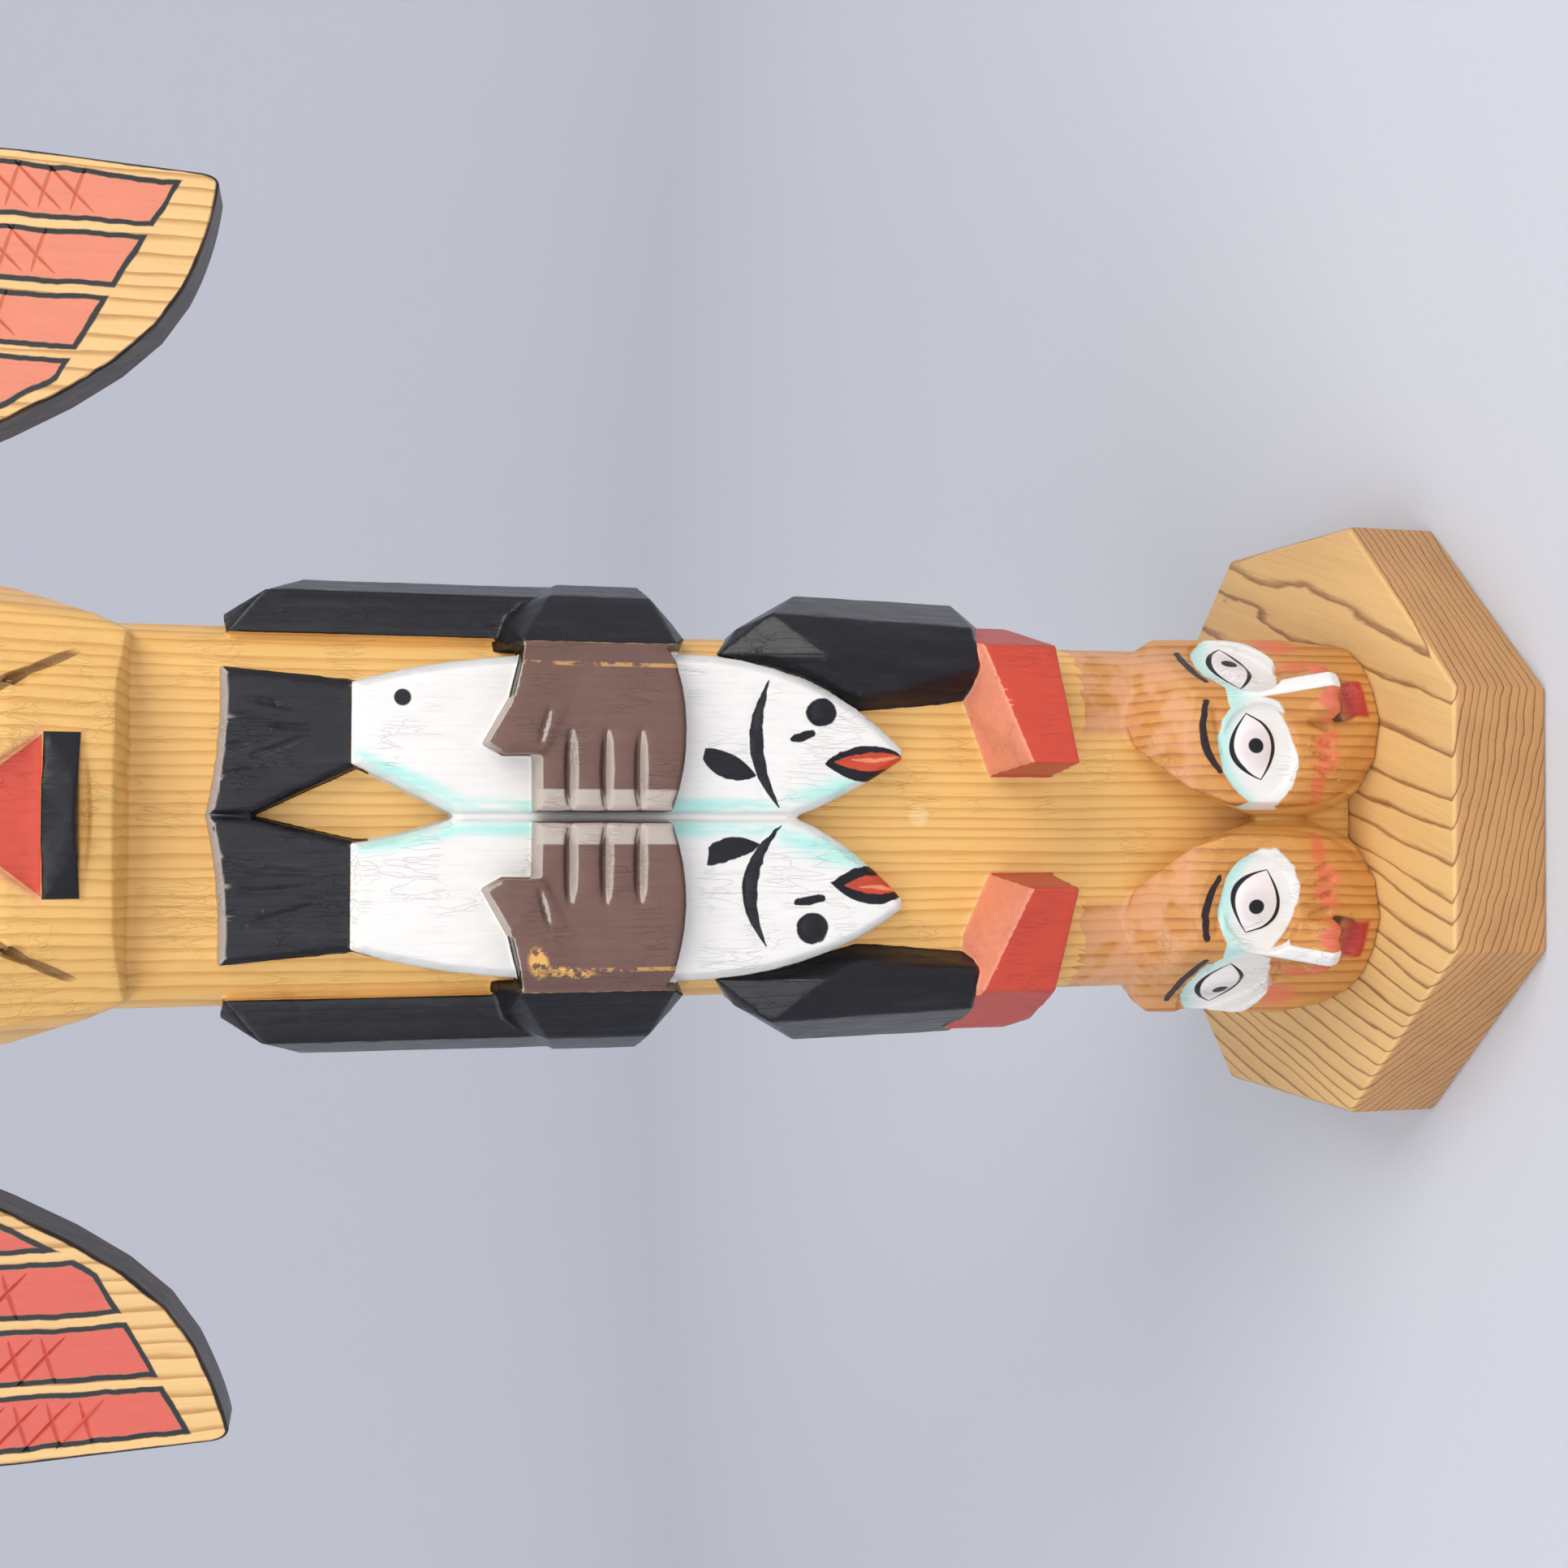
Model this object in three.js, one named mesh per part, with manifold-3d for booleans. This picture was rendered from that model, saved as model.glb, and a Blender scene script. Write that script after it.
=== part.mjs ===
// Souvenir totem pole: an octagonal board carries one carved block of cedar, and two flat cut-out
// wings are fixed to its sides. Millimetres, +Z up, the figures face -Y, and the origin is the
// middle of the board's underside.
import * as THREE from "three";
import { ConvexGeometry } from "three/addons/geometries/ConvexGeometry.js";
import { mergeVertices } from "three/addons/utils/BufferGeometryUtils.js";
import Module from "manifold-3d";

// Driving dimensions
const BOARD = 19; // thickness of the plinth board
const PLINTH_WIDTH = 114; // across the flats of the octagon
const BLOCK = 457; // length of the carved block
const HALF_BLOCK = 43.5; // half the width of the post that the block was sawn from
const WING_SPAN = 224;
const WING_BOARD = 12.5;
const UNEVEN = 2; // how much shorter the left wing is, and longer the right, than half the span
const GAP = 0.3; // glue line between two pieces

const POLE_FOOT = BOARD + GAP;
const POLE_TOP = POLE_FOOT + BLOCK;
const BACK = 43; // y of the flat back
const SHAFT_FRONT = -24; // y of the plain shaft's front
const SHAFT_HALF = 32.6; // half the shaft's width
const SIDE_BACK = 15; // y where the limbs end on the sides

const FACE_TURN = THREE.MathUtils.degToRad(32); // how far each small head looks outward
const FACE_PLANE = Math.tan(THREE.MathUtils.degToRad(27)); // slope of the eye planes from the nose
const NECK = 241.5; // z of the big head's underside at the shaft
const HEAD_TOP = 331; // z where the big head ends and the bird begins
const BIRD_NECK = 404; // z of the bird's chin

const WOOD = "#d8a761";

// Solids

const wasm = await Module();
wasm.setup();

function toSolid(geometry) {
  geometry.deleteAttribute("normal");
  geometry.deleteAttribute("uv");
  const merged = mergeVertices(geometry, 1e-4);
  return new wasm.Manifold(new wasm.Mesh({
    numProp: 3,
    vertProperties: new Float32Array(merged.attributes.position.array),
    triVerts: new Uint32Array(merged.index.array),
  }));
}

function toMesh(solid, name, color, roughness) {
  const cut = solid.getMesh();
  const geometry = new THREE.BufferGeometry();
  geometry.setAttribute("position", new THREE.BufferAttribute(cut.vertProperties, 3));
  geometry.setIndex(new THREE.BufferAttribute(cut.triVerts, 1));
  geometry.computeVertexNormals();
  const mesh = new THREE.Mesh(geometry, new THREE.MeshStandardMaterial({ color, roughness, metalness: 0 }));
  mesh.name = name;
  return mesh;
}

function join(solids) {
  return solids.reduce((whole, next) => whole.add(next));
}

// A faceted block whose corners are [x, y, z]
function block(corners) {
  return toSolid(new ConvexGeometry(corners.map((corner) => new THREE.Vector3(...corner))));
}

// The same block on the right (side = 1) or the left (side = -1)
function sideBlock(side, corners) {
  return block(corners.map(([x, y, z]) => [side * x, y, z]));
}

// A block that is symmetric about the middle, from the corners of its right half
function middleBlock(corners) {
  return block(corners.flatMap(([x, y, z]) => [[x, y, z], [-x, y, z]]));
}

// An outline in X and Z, cut from a slab between two depths, its front edge chamfered
function slab(shape, yBack, yFront, chamfer = 0) {
  const geometry = new THREE.ExtrudeGeometry(shape, {
    depth: yBack - yFront - 2 * chamfer,
    curveSegments: 8,
    bevelEnabled: chamfer > 0,
    bevelThickness: chamfer,
    bevelSize: chamfer,
    bevelOffset: -chamfer,
    bevelSegments: 1,
  });
  geometry.rotateX(Math.PI / 2);
  geometry.translate(0, yBack - chamfer, 0);
  return toSolid(geometry);
}

// A straight V-shaped knife cut from one point to another. It is widest and deepest at its end and
// vanishes at its start. The first wall of the V is the steep one.
function knifeCut(start, end, width, depth, out) {
  const along = new THREE.Vector3().subVectors(end, start).normalize();
  const across = new THREE.Vector3().crossVectors(along, out).normalize();
  const corner = (base, u, v) => base.clone().addScaledVector(across, u).addScaledVector(out, v).toArray();
  return block([
    corner(start, 0.1, 0.3), corner(start, -0.1, 0.3), corner(start, 0, -0.1),
    corner(end, width * 0.25, 0.6), corner(end, -width * 0.75, 0.6), corner(end, width * 0.1, -depth),
  ]);
}

// Plinth

function plinth() {
  const radius = PLINTH_WIDTH / 2 / Math.cos(Math.PI / 8);
  const chamfer = 0.8;
  const profile = [
    [0, 0], [radius - chamfer, 0], [radius, chamfer], [radius, BOARD - chamfer],
    [radius - chamfer, BOARD], [0, BOARD],
  ].map(([r, z]) => new THREE.Vector2(r, z));
  const geometry = new THREE.LatheGeometry(profile, 8, Math.PI / 8);
  geometry.rotateX(Math.PI / 2);
  return toSolid(geometry);
}

// Shaft: a flat front and back, the front corners rounded off with the knife

function shaft() {
  const flat = 24;
  const shape = new THREE.Shape();
  shape.moveTo(-SHAFT_HALF, SHAFT_FRONT + 12);
  shape.quadraticCurveTo(-SHAFT_HALF + 1, SHAFT_FRONT + 3, -flat, SHAFT_FRONT);
  shape.lineTo(flat, SHAFT_FRONT);
  shape.quadraticCurveTo(SHAFT_HALF - 1, SHAFT_FRONT + 3, SHAFT_HALF, SHAFT_FRONT + 12);
  shape.lineTo(SHAFT_HALF, BACK - 7);
  shape.lineTo(SHAFT_HALF - 7, BACK);
  shape.lineTo(7 - SHAFT_HALF, BACK);
  shape.lineTo(-SHAFT_HALF, BACK - 7);
  const geometry = new THREE.ExtrudeGeometry(shape, {
    depth: BIRD_NECK - POLE_FOOT,
    curveSegments: 5,
    bevelEnabled: false,
  });
  geometry.translate(0, 0, POLE_FOOT);
  return toSolid(geometry);
}

// Small heads: each looks outward, and is worked out across its own face (across, out, z)

function smallHeadPlace(side) {
  const axis = { x: 14.6, y: -20.1 };
  const cos = Math.cos(FACE_TURN);
  const sin = Math.sin(FACE_TURN);
  return ([across, out, z]) => [
    side * (axis.x + out * sin + across * cos),
    axis.y - out * cos + across * sin,
    z,
  ];
}

function smallHead(side, outer) {
  const place = smallHeadPlace(side);
  const faceBlock = (corners) => block(corners.map(place));
  const mirrored = (corners) => faceBlock(corners.flatMap(([s, n, z]) => [[s, n, z], [-s, n, z]]));
  const ridge = 17; // how far the bridge of the nose stands out from the head's axis
  const cheek = 18.3;
  const plane = (across) => ridge - across * FACE_PLANE;
  const skull = faceBlock([
    // chin on the board
    [-11, -6, POLE_FOOT], [-11.5, 1, POLE_FOOT], [-9.5, 9, POLE_FOOT], [-4.5, 14.3, POLE_FOOT],
    [2, 15.6, POLE_FOOT], [8, 15.2, POLE_FOOT], [14, 12.6, POLE_FOOT], [outer - 3, 6, POLE_FOOT],
    [outer - 2, -7, POLE_FOOT],
    // cheeks and the two planes of the eyes
    [-15.5, -7, 34], [-16.5, 6, 30], [-12, 11.3, 29], [-3, 16, 30],
    [3, 16.2, 30], [12, 12.8, 29], [outer - 3, 8.4, 30], [outer + 0.5, -7, 32],
    [0, ridge, 40], [0, ridge, 57], [-cheek, plane(cheek), 40], [-cheek, plane(cheek), 52],
    [cheek, plane(cheek), 38], [cheek, plane(cheek), 54], [outer, 2.5, 42], [outer + 0.5, -9, 52],
    // forehead, sloping back to the shaft
    [-15, 7, 58.5], [-8, 12.4, 59.5], [8, 13.2, 59.5], [outer - 2.5, 6.6, 57], [outer - 1, -9, 58.5],
    [-5, 5, 66], [3, 6, 67.2], [9, 7.6, 66], [15, 6.8, 63.5], [outer - 4.5, 5.6, 60.2],
  ]);
  const nose = mirrored([
    [1, ridge - 0.4, 49], [1.3, 21.8, 32], [1.2, 21.2, 30], [5.6, 16.4, 30.3], [5.2, 16, 35],
    [2.4, 15.6, 46], [3, 11, 30.3], [2, 11, 48],
  ]);
  const mouth = mirrored([
    [4.8, 13.2, 30], [5.8, 19, 30], [4, 17, 23], [2.5, 15.7, 22.3], [4, 22, 24], [4.4, 13.4, 26.5],
  ]);
  const brow = (cheekward) => faceBlock([
    [cheekward * 2.4, plane(2.4) + 0.2, 54.8], [cheekward * 2.6, plane(2.4) + 0.5, 56.4],
    [cheekward * 8, plane(8) + 0.6, 56.2], [cheekward * 8, plane(8) + 0.6, 57.8],
    [cheekward * 14.2, plane(14.2), 53.2], [cheekward * 14.6, plane(14.6), 54.6],
    [cheekward * 3, plane(3) - 2, 57], [cheekward * 8, plane(8) - 2, 60],
    [cheekward * 14, plane(14) - 2, 56.5],
  ]);
  return skull.subtract(mouth).add(nose).add(brow(-1)).add(brow(1));
}

// Limbs, hands and feet

function foot(side, inner, outer) {
  return sideBlock(side, [
    [inner, -40, 82.7], [inner, -40, 91.6], [inner - 2.5, -20, 81], [inner - 2.5, -20, 94],
    [23, -22, 99.6], [31.5, -29, 82.6], [31.5, -29, 96.8], [outer - 2, -18, 83], [outer, -14, 87],
    [outer, -14, 98.5], [outer - 3, 2, 86], [outer - 3, 2, 98.5], [26, -10, 81],
  ]);
}

function leg(side, inner) {
  return sideBlock(side, [
    [inner, -23, 119], [inner + 2, -23, 98], [inner + 3, -28, 120], [28.5, -31, 127],
    [27, -29.5, 98], [28.8, -22, 144.5], [33.8, -19.5, 140.5], [36.4, -24, 135], [35.6, -27, 124],
    [34.6, -26.5, 98], [41.3, -11, 127.5], [40.8, -9, 96], [36.4, -10, 91],
    [42.5, SIDE_BACK, 124], [41.5, SIDE_BACK, 92], [33, SIDE_BACK, 138], [33, SIDE_BACK, 88],
  ]);
}

function upperArm(side) {
  return sideBlock(side, [
    [30.6, -21, 152], [30.6, -21, 228], [38.4, -20, 156], [38.2, -20, 222], [41.6, -9, 156],
    [41.4, -9, 216], [42, SIDE_BACK, 155], [41.8, SIDE_BACK, 214], [34, -16, 229],
    [34, SIDE_BACK, 226], [34, SIDE_BACK, 148], [35, -10, 150],
  ]);
}

function forearm(side) {
  return sideBlock(side, [
    [29.6, -31.5, 153.5], [29.6, -31.5, 180], [38.2, -24, 157], [38.2, -24, 174.5], [41.8, -12, 157.5],
    [41.8, -12, 172], [28.5, -20, 184.3], [36, -18, 182], [31, -26, 151.2], [34, -14, 150.5],
    [27, -20, 152],
  ]);
}

function hand(side) {
  const front = -35;
  const palmShape = new THREE.Shape();
  palmShape.moveTo(side * 0.9, 177.8);
  palmShape.lineTo(side * 0.9, 154.6);
  palmShape.quadraticCurveTo(side * 15, 149.4, side * 29.7, 155.2);
  palmShape.lineTo(side * 29.7, 178);
  const wristward = 20; // where the thumb's outer edge bends
  const thumbTip = sideBlock(side, [
    [10.6, front - 1, 177], [10.4, front - 1, 183], [12.2, front - 0.8, 186.2],
    [wristward, front - 1, 181.8], [wristward, front, 172], [15, front, 174], [10.8, front, 176],
    [10.4, -22, 183], [12.2, -22, 186.2], [wristward, -22, 181.8], [wristward, -22, 172],
    [10.6, -22, 176],
  ]);
  const thumbRoot = sideBlock(side, [
    [wristward, front - 1, 181.8], [29.7, front - 0.4, 179.4], [29.7, front, 168],
    [wristward, front, 172], [wristward, -22, 181.8], [29.7, -22, 179.4], [29.7, -22, 168],
    [wristward, -22, 172],
  ]);
  const heel = sideBlock(side, [
    [25.8, front - 3, 145], [25.8, front - 3, 190], [25.8, front - 0.1, 145], [25.8, front - 0.1, 190],
    [31, -28.6, 145], [31, -28.6, 190], [33, front - 3, 145], [33, front - 3, 190],
  ]);
  const whole = slab(palmShape, SHAFT_FRONT + 2, front, 1)
    .add(thumbTip)
    .add(thumbRoot)
    .subtract(heel);
  const out = new THREE.Vector3(0, -1, 0);
  const fingerGaps = [172.2, 166.2, 160.4].map((z) => {
    const start = new THREE.Vector3(side * 13.4, front, z - 0.7);
    const end = new THREE.Vector3(side * 0.5, front, z);
    return side > 0 ? knifeCut(start, end, 2.4, 1.7, out) : knifeCut(start, end, -2.4, 1.7, out);
  });
  return fingerGaps.reduce((carved, cut) => carved.subtract(cut), whole);
}

// Fish, hanging head down side by side: a pale body, a dark tail and a chamfer all round

function fishBody(side, snout, backFin) {
  const shape = new THREE.Shape();
  shape.moveTo(side * backFin, 207.6);
  shape.quadraticCurveTo(side * 3, 196, side * -0.4, 190);
  shape.lineTo(side * -0.4, 133);
  shape.quadraticCurveTo(side * 3, 122.5, side * (snout - 1), 111.8);
  shape.lineTo(side * (snout + 0.8), 111.8);
  shape.quadraticCurveTo(side * 28.5, 128, side * 28.4, 153);
  shape.quadraticCurveTo(side * 28.4, 190, side * 22.3, 207.6);
  return slab(shape, SHAFT_FRONT + 2, -29.6, 1.6);
}

function fishTail(side, backFin) {
  const shape = new THREE.Shape();
  shape.moveTo(side * backFin, 206);
  shape.lineTo(side * 0.2, 223.6);
  shape.lineTo(side * 0.2, 230.6);
  shape.quadraticCurveTo(side * 12, 228, side * 24.6, 228.6);
  shape.lineTo(side * 22.4, 206);
  const front = -28;
  const out = new THREE.Vector3(0, -1, 0);
  const rays = [6.5, 11.5, 16.5].map((x) => knifeCut(
    new THREE.Vector3(side * (x * 0.55 + 7), front, 210),
    new THREE.Vector3(side * x, front, 229.5),
    1.6, 1, out,
  ));
  return rays.reduce((carved, cut) => carved.subtract(cut), slab(shape, SHAFT_FRONT + 2, front, 1));
}

// Big head: a wide mask with a jutting chin, open lips, a broad nose and deep-set eyes

function bigHead() {
  const skull = middleBlock([
    [30, -27, NECK + 1.5], [31, 4, NECK + 1], [20, -33.5, NECK + 2.4], [0, -34.5, NECK + 2.6],
    [33, -24, 249], [37.6, -15, 262], [33.5, -30, 264], [42.6, -8, 284], [38, -27, 286],
    [20, -37.6, 259], [0, -38.6, 259], [20, -39.5, 292], [0, -40, 296], [HALF_BLOCK, -6, 305],
    [38, -27, 316],
    [20, -36, 320], [0, -37, 321], [40, -6, 326], [30, -22, HEAD_TOP], [0, -28, HEAD_TOP],
    [HALF_BLOCK, SIDE_BACK, 292], [39, SIDE_BACK, 262], [34, SIDE_BACK, 246], [39, SIDE_BACK, 328],
    [30, 8, HEAD_TOP],
  ]);
  const eyeSocket = (side) => sideBlock(side, [
    [4, -37.6, 300], [4, -37.6, 314], [21, -37, 297], [21, -35.5, 315], [33, -30, 300],
    [33, -28.8, 312], [5, -46, 299], [5, -46, 315], [34, -46, 297], [34, -46, 313],
  ]);
  const cheekGroove = (side) => {
    const out = new THREE.Vector3(side * 0.3, -0.95, 0);
    const middle = new THREE.Vector3(side * 22.4, -35.6, 256.6);
    const low = knifeCut(new THREE.Vector3(side * 26.2, -31, 249.4), middle, side * 3.6, 2, out);
    const high = knifeCut(new THREE.Vector3(side * 13, -39.6, 272), middle, side * -3.6, 2, out);
    return low.add(high);
  };
  const nose = middleBlock([
    [4.5, -38, 306], [4, -40.5, 296], [7, -42.5, 281], [3, -43.3, 283], [12, -40.5, 276],
    [11.5, -38, 274], [4, -42.5, 274.5], [12.5, -37, 281], [5, -34, 306], [9, -34, 275],
  ]);
  const lowerLip = middleBlock([
    [13.2, -35.4, 248.6], [12.8, -36.6, 253.4], [5, -38.6, 248.9], [4, -38.6, 254.2],
    [0, -39.4, 249.2], [12, -30, 249], [12, -30, 254],
  ]);
  const mouth = middleBlock([
    [12.8, -36, 254.2], [5, -37.4, 262], [2.5, -38, 268], [12.8, -44, 254.2], [5, -44, 262],
    [2.5, -44, 269],
  ]);
  const underLip = middleBlock([
    [15.5, -34.9, 247.8], [15.5, -34.9, 248.4], [0, -34.4, 247.2], [0, -34.4, 249],
    [15.5, -40, 246.6], [15.5, -40, 249], [0, -40, 246], [0, -40, 249.4],
  ]);
  const brow = (side) => sideBlock(side, [
    [5, -40.5, 314.5], [5, -40, 319], [19, -39.6, 318], [19, -38, 323.5], [34.5, -30, 313.5],
    [34, -29, 318.5], [5, -34, 317], [30, -24, 317],
  ]);
  return skull
    .subtract(mouth)
    .subtract(underLip)
    .subtract(eyeSocket(-1))
    .subtract(eyeSocket(1))
    .subtract(cheekGroove(-1))
    .subtract(cheekGroove(1))
    .add(join([nose, lowerLip, brow(-1), brow(1)]));
}

// Thunderbird: claws on the big head, a deep breast between the wings, a hooked beak

function birdBody() {
  const breast = middleBlock([
    [24, -24, HEAD_TOP - 4], [37, -8, HEAD_TOP - 2], [30, -30, 348], [0, -33, 350],
    [HALF_BLOCK, -10, 352], [HALF_BLOCK, -12, 390], [32, -31, 384], [0, -35, 386],
    [36, -14, BIRD_NECK + 1], [24, -24, BIRD_NECK + 1], [0, -28, BIRD_NECK + 1],
    [HALF_BLOCK, SIDE_BACK, 350], [HALF_BLOCK, SIDE_BACK, 394], [36, SIDE_BACK, BIRD_NECK + 1],
    [36, SIDE_BACK, HEAD_TOP - 2],
  ]);
  const claws = [-1, 1].flatMap((side) => [9, 15.5, 22].map((x) => sideBlock(side, [
    [x - 2.6, -30, 346], [x + 2.6, -30, 346], [x - 2.8, -37, 340], [x + 2.8, -37, 340],
    [x - 1.2, -39.5, 328], [x + 1.2, -39.5, 328], [x - 2.4, -26, 328], [x + 2.4, -26, 328],
  ])));
  return join([breast, ...claws]);
}

function birdHead() {
  const skull = middleBlock([
    [24, -24, BIRD_NECK], [33, -8, BIRD_NECK], [0, -29, BIRD_NECK], [33, 14, BIRD_NECK],
    [30, -23, 414], [38, -6, 424], [0, -37, 424], [0, -37, 447], [33, -20, 424], [33, -20, 447],
    [38, -4, 452], [26, -21, 464], [0, -29, 466], [20, -12, POLE_TOP], [0, -16, POLE_TOP],
    [20, 26, POLE_TOP], [30, 34, 462], [36, 34, 420], [26, BACK - 4, 440],
    [26, BACK, BIRD_NECK - 1], [32, BACK - 6, BIRD_NECK - 1],
  ]);
  const upperBeak = middleBlock([
    [3.2, -35, 449], [3, -42.5, 441], [2.6, -45.5, 432], [9, -33, 424], [7, -33, 446],
    [4, -43, 422], [8.6, -35, 421],
  ]);
  const hook = middleBlock([
    [2.6, -45.5, 432], [4, -43, 424], [3.6, -37, 424], [1, -43.5, 411], [1.4, -40, 416],
  ]);
  const lowerBeak = middleBlock([
    [8, -28, 420], [7.4, -33, 419], [3, -37, 417], [2.6, -35.5, 412], [6.6, -27, 411],
  ]);
  const brow = (side) => sideBlock(side, [
    [3.6, -37.2, 448.5], [3.8, -36.4, 452], [16, -32.6, 453], [16, -30.6, 457], [29, -23.4, 448],
    [28.6, -22.4, 451.6], [4, -30, 453], [27, -18, 452],
  ]);
  return join([skull, upperBeak, hook, lowerBeak, brow(-1), brow(1)]);
}

// Wings: flat boards with an upright outer edge and a swept lower edge

function wing(side, reach, lift) {
  const root = HALF_BLOCK + GAP;
  const tip = reach - 1.6;
  const low = 228.6 + lift;
  const shape = new THREE.Shape();
  shape.moveTo(side * root, 314);
  shape.bezierCurveTo(side * 60, 280, side * 72.5, low + 15, side * 92, low + 5.6);
  shape.quadraticCurveTo(side * 101, low + 1.2, side * (tip - 1.5), low);
  shape.quadraticCurveTo(side * (tip + 0.1), low + 0.2, side * (tip + 0.3), low + 3);
  shape.lineTo(side * reach, 262);
  shape.lineTo(side * reach, 352);
  shape.bezierCurveTo(side * reach, 388, side * 92, 401, side * 70, 400);
  shape.quadraticCurveTo(side * 54, 399, side * root, 389);
  return slab(shape, WING_BOARD / 2, -WING_BOARD / 2, 0.6);
}

// Assembly

const pole = join([
  shaft(),
  smallHead(-1, 25.6),
  smallHead(1, 22),
  leg(-1, 22.2),
  leg(1, 18.6),
  foot(-1, 12.3, 39.8),
  foot(1, 9.7, 36),
  ...[-1, 1].flatMap((side) => [upperArm(side), forearm(side)]),
  fishBody(-1, 15.6, 4.4),
  fishBody(1, 11.4, 8.6),
  fishTail(-1, 4.4),
  fishTail(1, 8.6),
  hand(-1),
  hand(1),
  bigHead(),
  birdBody(),
  birdHead(),
]);

const group = new THREE.Group();
group.add(toMesh(plinth(), "base", WOOD, 0.5));
group.add(toMesh(pole, "pole", WOOD, 0.45));
group.add(toMesh(wing(-1, WING_SPAN / 2 - UNEVEN, -1.2), "wing_left", "#c84a40", 0.45));
group.add(toMesh(wing(1, WING_SPAN / 2 + UNEVEN, 2.2), "wing_right", "#c84a40", 0.45));

export default group;
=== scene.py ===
"""Carved and painted souvenir totem pole, laid out as an add-on: one operator makes each piece
and one the stage. Sizes in the code are millimetres in the frame's own axes, and metres in the mesh."""

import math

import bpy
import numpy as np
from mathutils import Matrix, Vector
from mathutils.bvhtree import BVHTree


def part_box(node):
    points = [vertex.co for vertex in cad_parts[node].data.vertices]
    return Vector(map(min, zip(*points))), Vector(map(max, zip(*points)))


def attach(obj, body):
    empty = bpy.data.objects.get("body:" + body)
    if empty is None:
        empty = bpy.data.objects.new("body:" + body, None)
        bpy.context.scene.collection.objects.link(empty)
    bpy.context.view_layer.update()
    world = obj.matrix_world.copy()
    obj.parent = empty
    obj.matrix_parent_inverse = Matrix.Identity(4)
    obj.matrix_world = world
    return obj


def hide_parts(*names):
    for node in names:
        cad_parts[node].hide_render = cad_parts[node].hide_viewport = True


bl_info = {
    "name": "Carved totem pole",
    "version": (1, 0, 0),
    "blender": (4, 5, 0),
    "location": "View3D > Sidebar > Totem",
    "description": "Finishes a small carved cedar totem pole: knife work, grain, paint and stage",
    "category": "Object",
}

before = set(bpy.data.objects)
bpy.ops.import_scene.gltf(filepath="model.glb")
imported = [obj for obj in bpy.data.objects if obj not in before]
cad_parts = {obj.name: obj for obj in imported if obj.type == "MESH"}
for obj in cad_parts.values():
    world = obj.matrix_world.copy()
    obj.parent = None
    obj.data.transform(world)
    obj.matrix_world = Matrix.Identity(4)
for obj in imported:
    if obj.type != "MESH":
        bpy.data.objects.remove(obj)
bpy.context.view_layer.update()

MM = 0.001
SIDES = (-1, 1)  # the carver's left and right as seen from the front

SHAFT_FRONT = -24.0
FISH_FRONT = -29.6
SHAFT_HALF = 32.6
FLAT_HALF = 24.0  # half width of the shaft's flat front
CORNER_BACK = -12.0  # where its rounded front corners end
BACK_CHAMFER = 7.0
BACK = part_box("pole")[1].y / MM
NECK = 241.5
HEAD_TOP = 331.0
FEET = 75.0  # heights where one part of the paint scheme ends and the next begins
HANDS = 148.0

# Each small head has its own axes: across its face, out of it, and up
HEAD_AXIS = (14.6, -20.1)
FACE_TURN = math.radians(32)
EYE_PLANE = math.radians(27)
RIDGE = 17.0
UNDER_BROW = 2.2  # how far below a brow its ledge is cut
FRONT = Vector((0, -1, 0))


def srgb(code):
    """A colour written as on a paint tin, in the linear values that a shader takes."""
    parts = [int(code[i:i + 2], 16) / 255 for i in (1, 3, 5)]
    return tuple(p / 12.92 if p <= 0.04045 else ((p + 0.055) / 1.055) ** 2.4 for p in parts)


# Properties


def colour(label, code, about):
    return bpy.props.FloatVectorProperty(
        name=label, description=about, subtype="COLOR", size=3, min=0, max=1, default=srgb(code)
    )


def length(label, millimetres, about):
    return bpy.props.FloatProperty(
        name=label, description=about, default=millimetres * MM, unit="LENGTH", precision=5
    )


class TotemSizes(bpy.types.PropertyGroup):
    softness: length("Edge softness", 0.45, "Grain size of the carved surface, which rounds its edges")
    chatter: length("Knife chatter", 0.22, "Depth of the hollows that the knife leaves on a facet")
    patch_depth: length("Eye patch depth", 0.6, "How far the painted eye patches are sunk")
    hatch_depth: length("Hatching depth", 0.55, "Depth of the cuts across the wing feathers")
    hatch_width: length("Hatching width", 0.75, "Width of the cuts across the wing feathers")
    stage_radius: length("Stage radius", 1500, "Radius of the seamless floor with its turned-up rim")
    detail: bpy.props.IntProperty(
        name="Pole triangles", description="Most triangles in the carved pole", default=186000, min=20000
    )


class TotemColours(bpy.types.PropertyGroup):
    cedar_light: colour("Cedar", "#e2b368", "Varnished early wood of the post")
    cedar_dark: colour("Cedar rings", "#cc944c", "Late wood of the post")
    head_wood: colour("Head cedar", "#cb8f4b", "Deeper varnish on the small heads")
    stain: colour("Forehead stain", "#d9a27c", "Pinkish stain on the foreheads")
    board_light: colour("Board", "#e0b676", "Early wood of the plinth and wing boards")
    board_dark: colour("Board rings", "#85532e", "Late wood of the plinth and wing boards")
    black: colour("Black", "#0c0b12", "Semi-gloss black paint")
    red: colour("Red", "#c9452f", "Red paint")
    # Lighter red, used only as painted light on the upward facets of the feet
    painted_highlight_red: colour("Coral", "#e08a6c", "Thin red paint over pale wood")
    white: colour("White", "#e4e0da", "Off-white paint")
    aqua: colour("Aqua", "#8fd8cb", "Blue-green wash")
    brown: colour("Brown", "#6f5147", "Brown paint of the hands")
    chalk: colour("Chalk", "#b3a79c", "Pale rubbed edges of the brown and black paint")
    floor: colour("Floor", "#cfd1d8", "Paper of the seamless floor")


def settings():
    scene = bpy.context.scene
    return scene.totem_sizes, scene.totem_colours


# Meshes


def select_only(*pieces):
    bpy.ops.object.select_all(action="DESELECT")
    for piece in pieces:
        piece.select_set(True)
    bpy.context.view_layer.objects.active = pieces[0]


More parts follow.
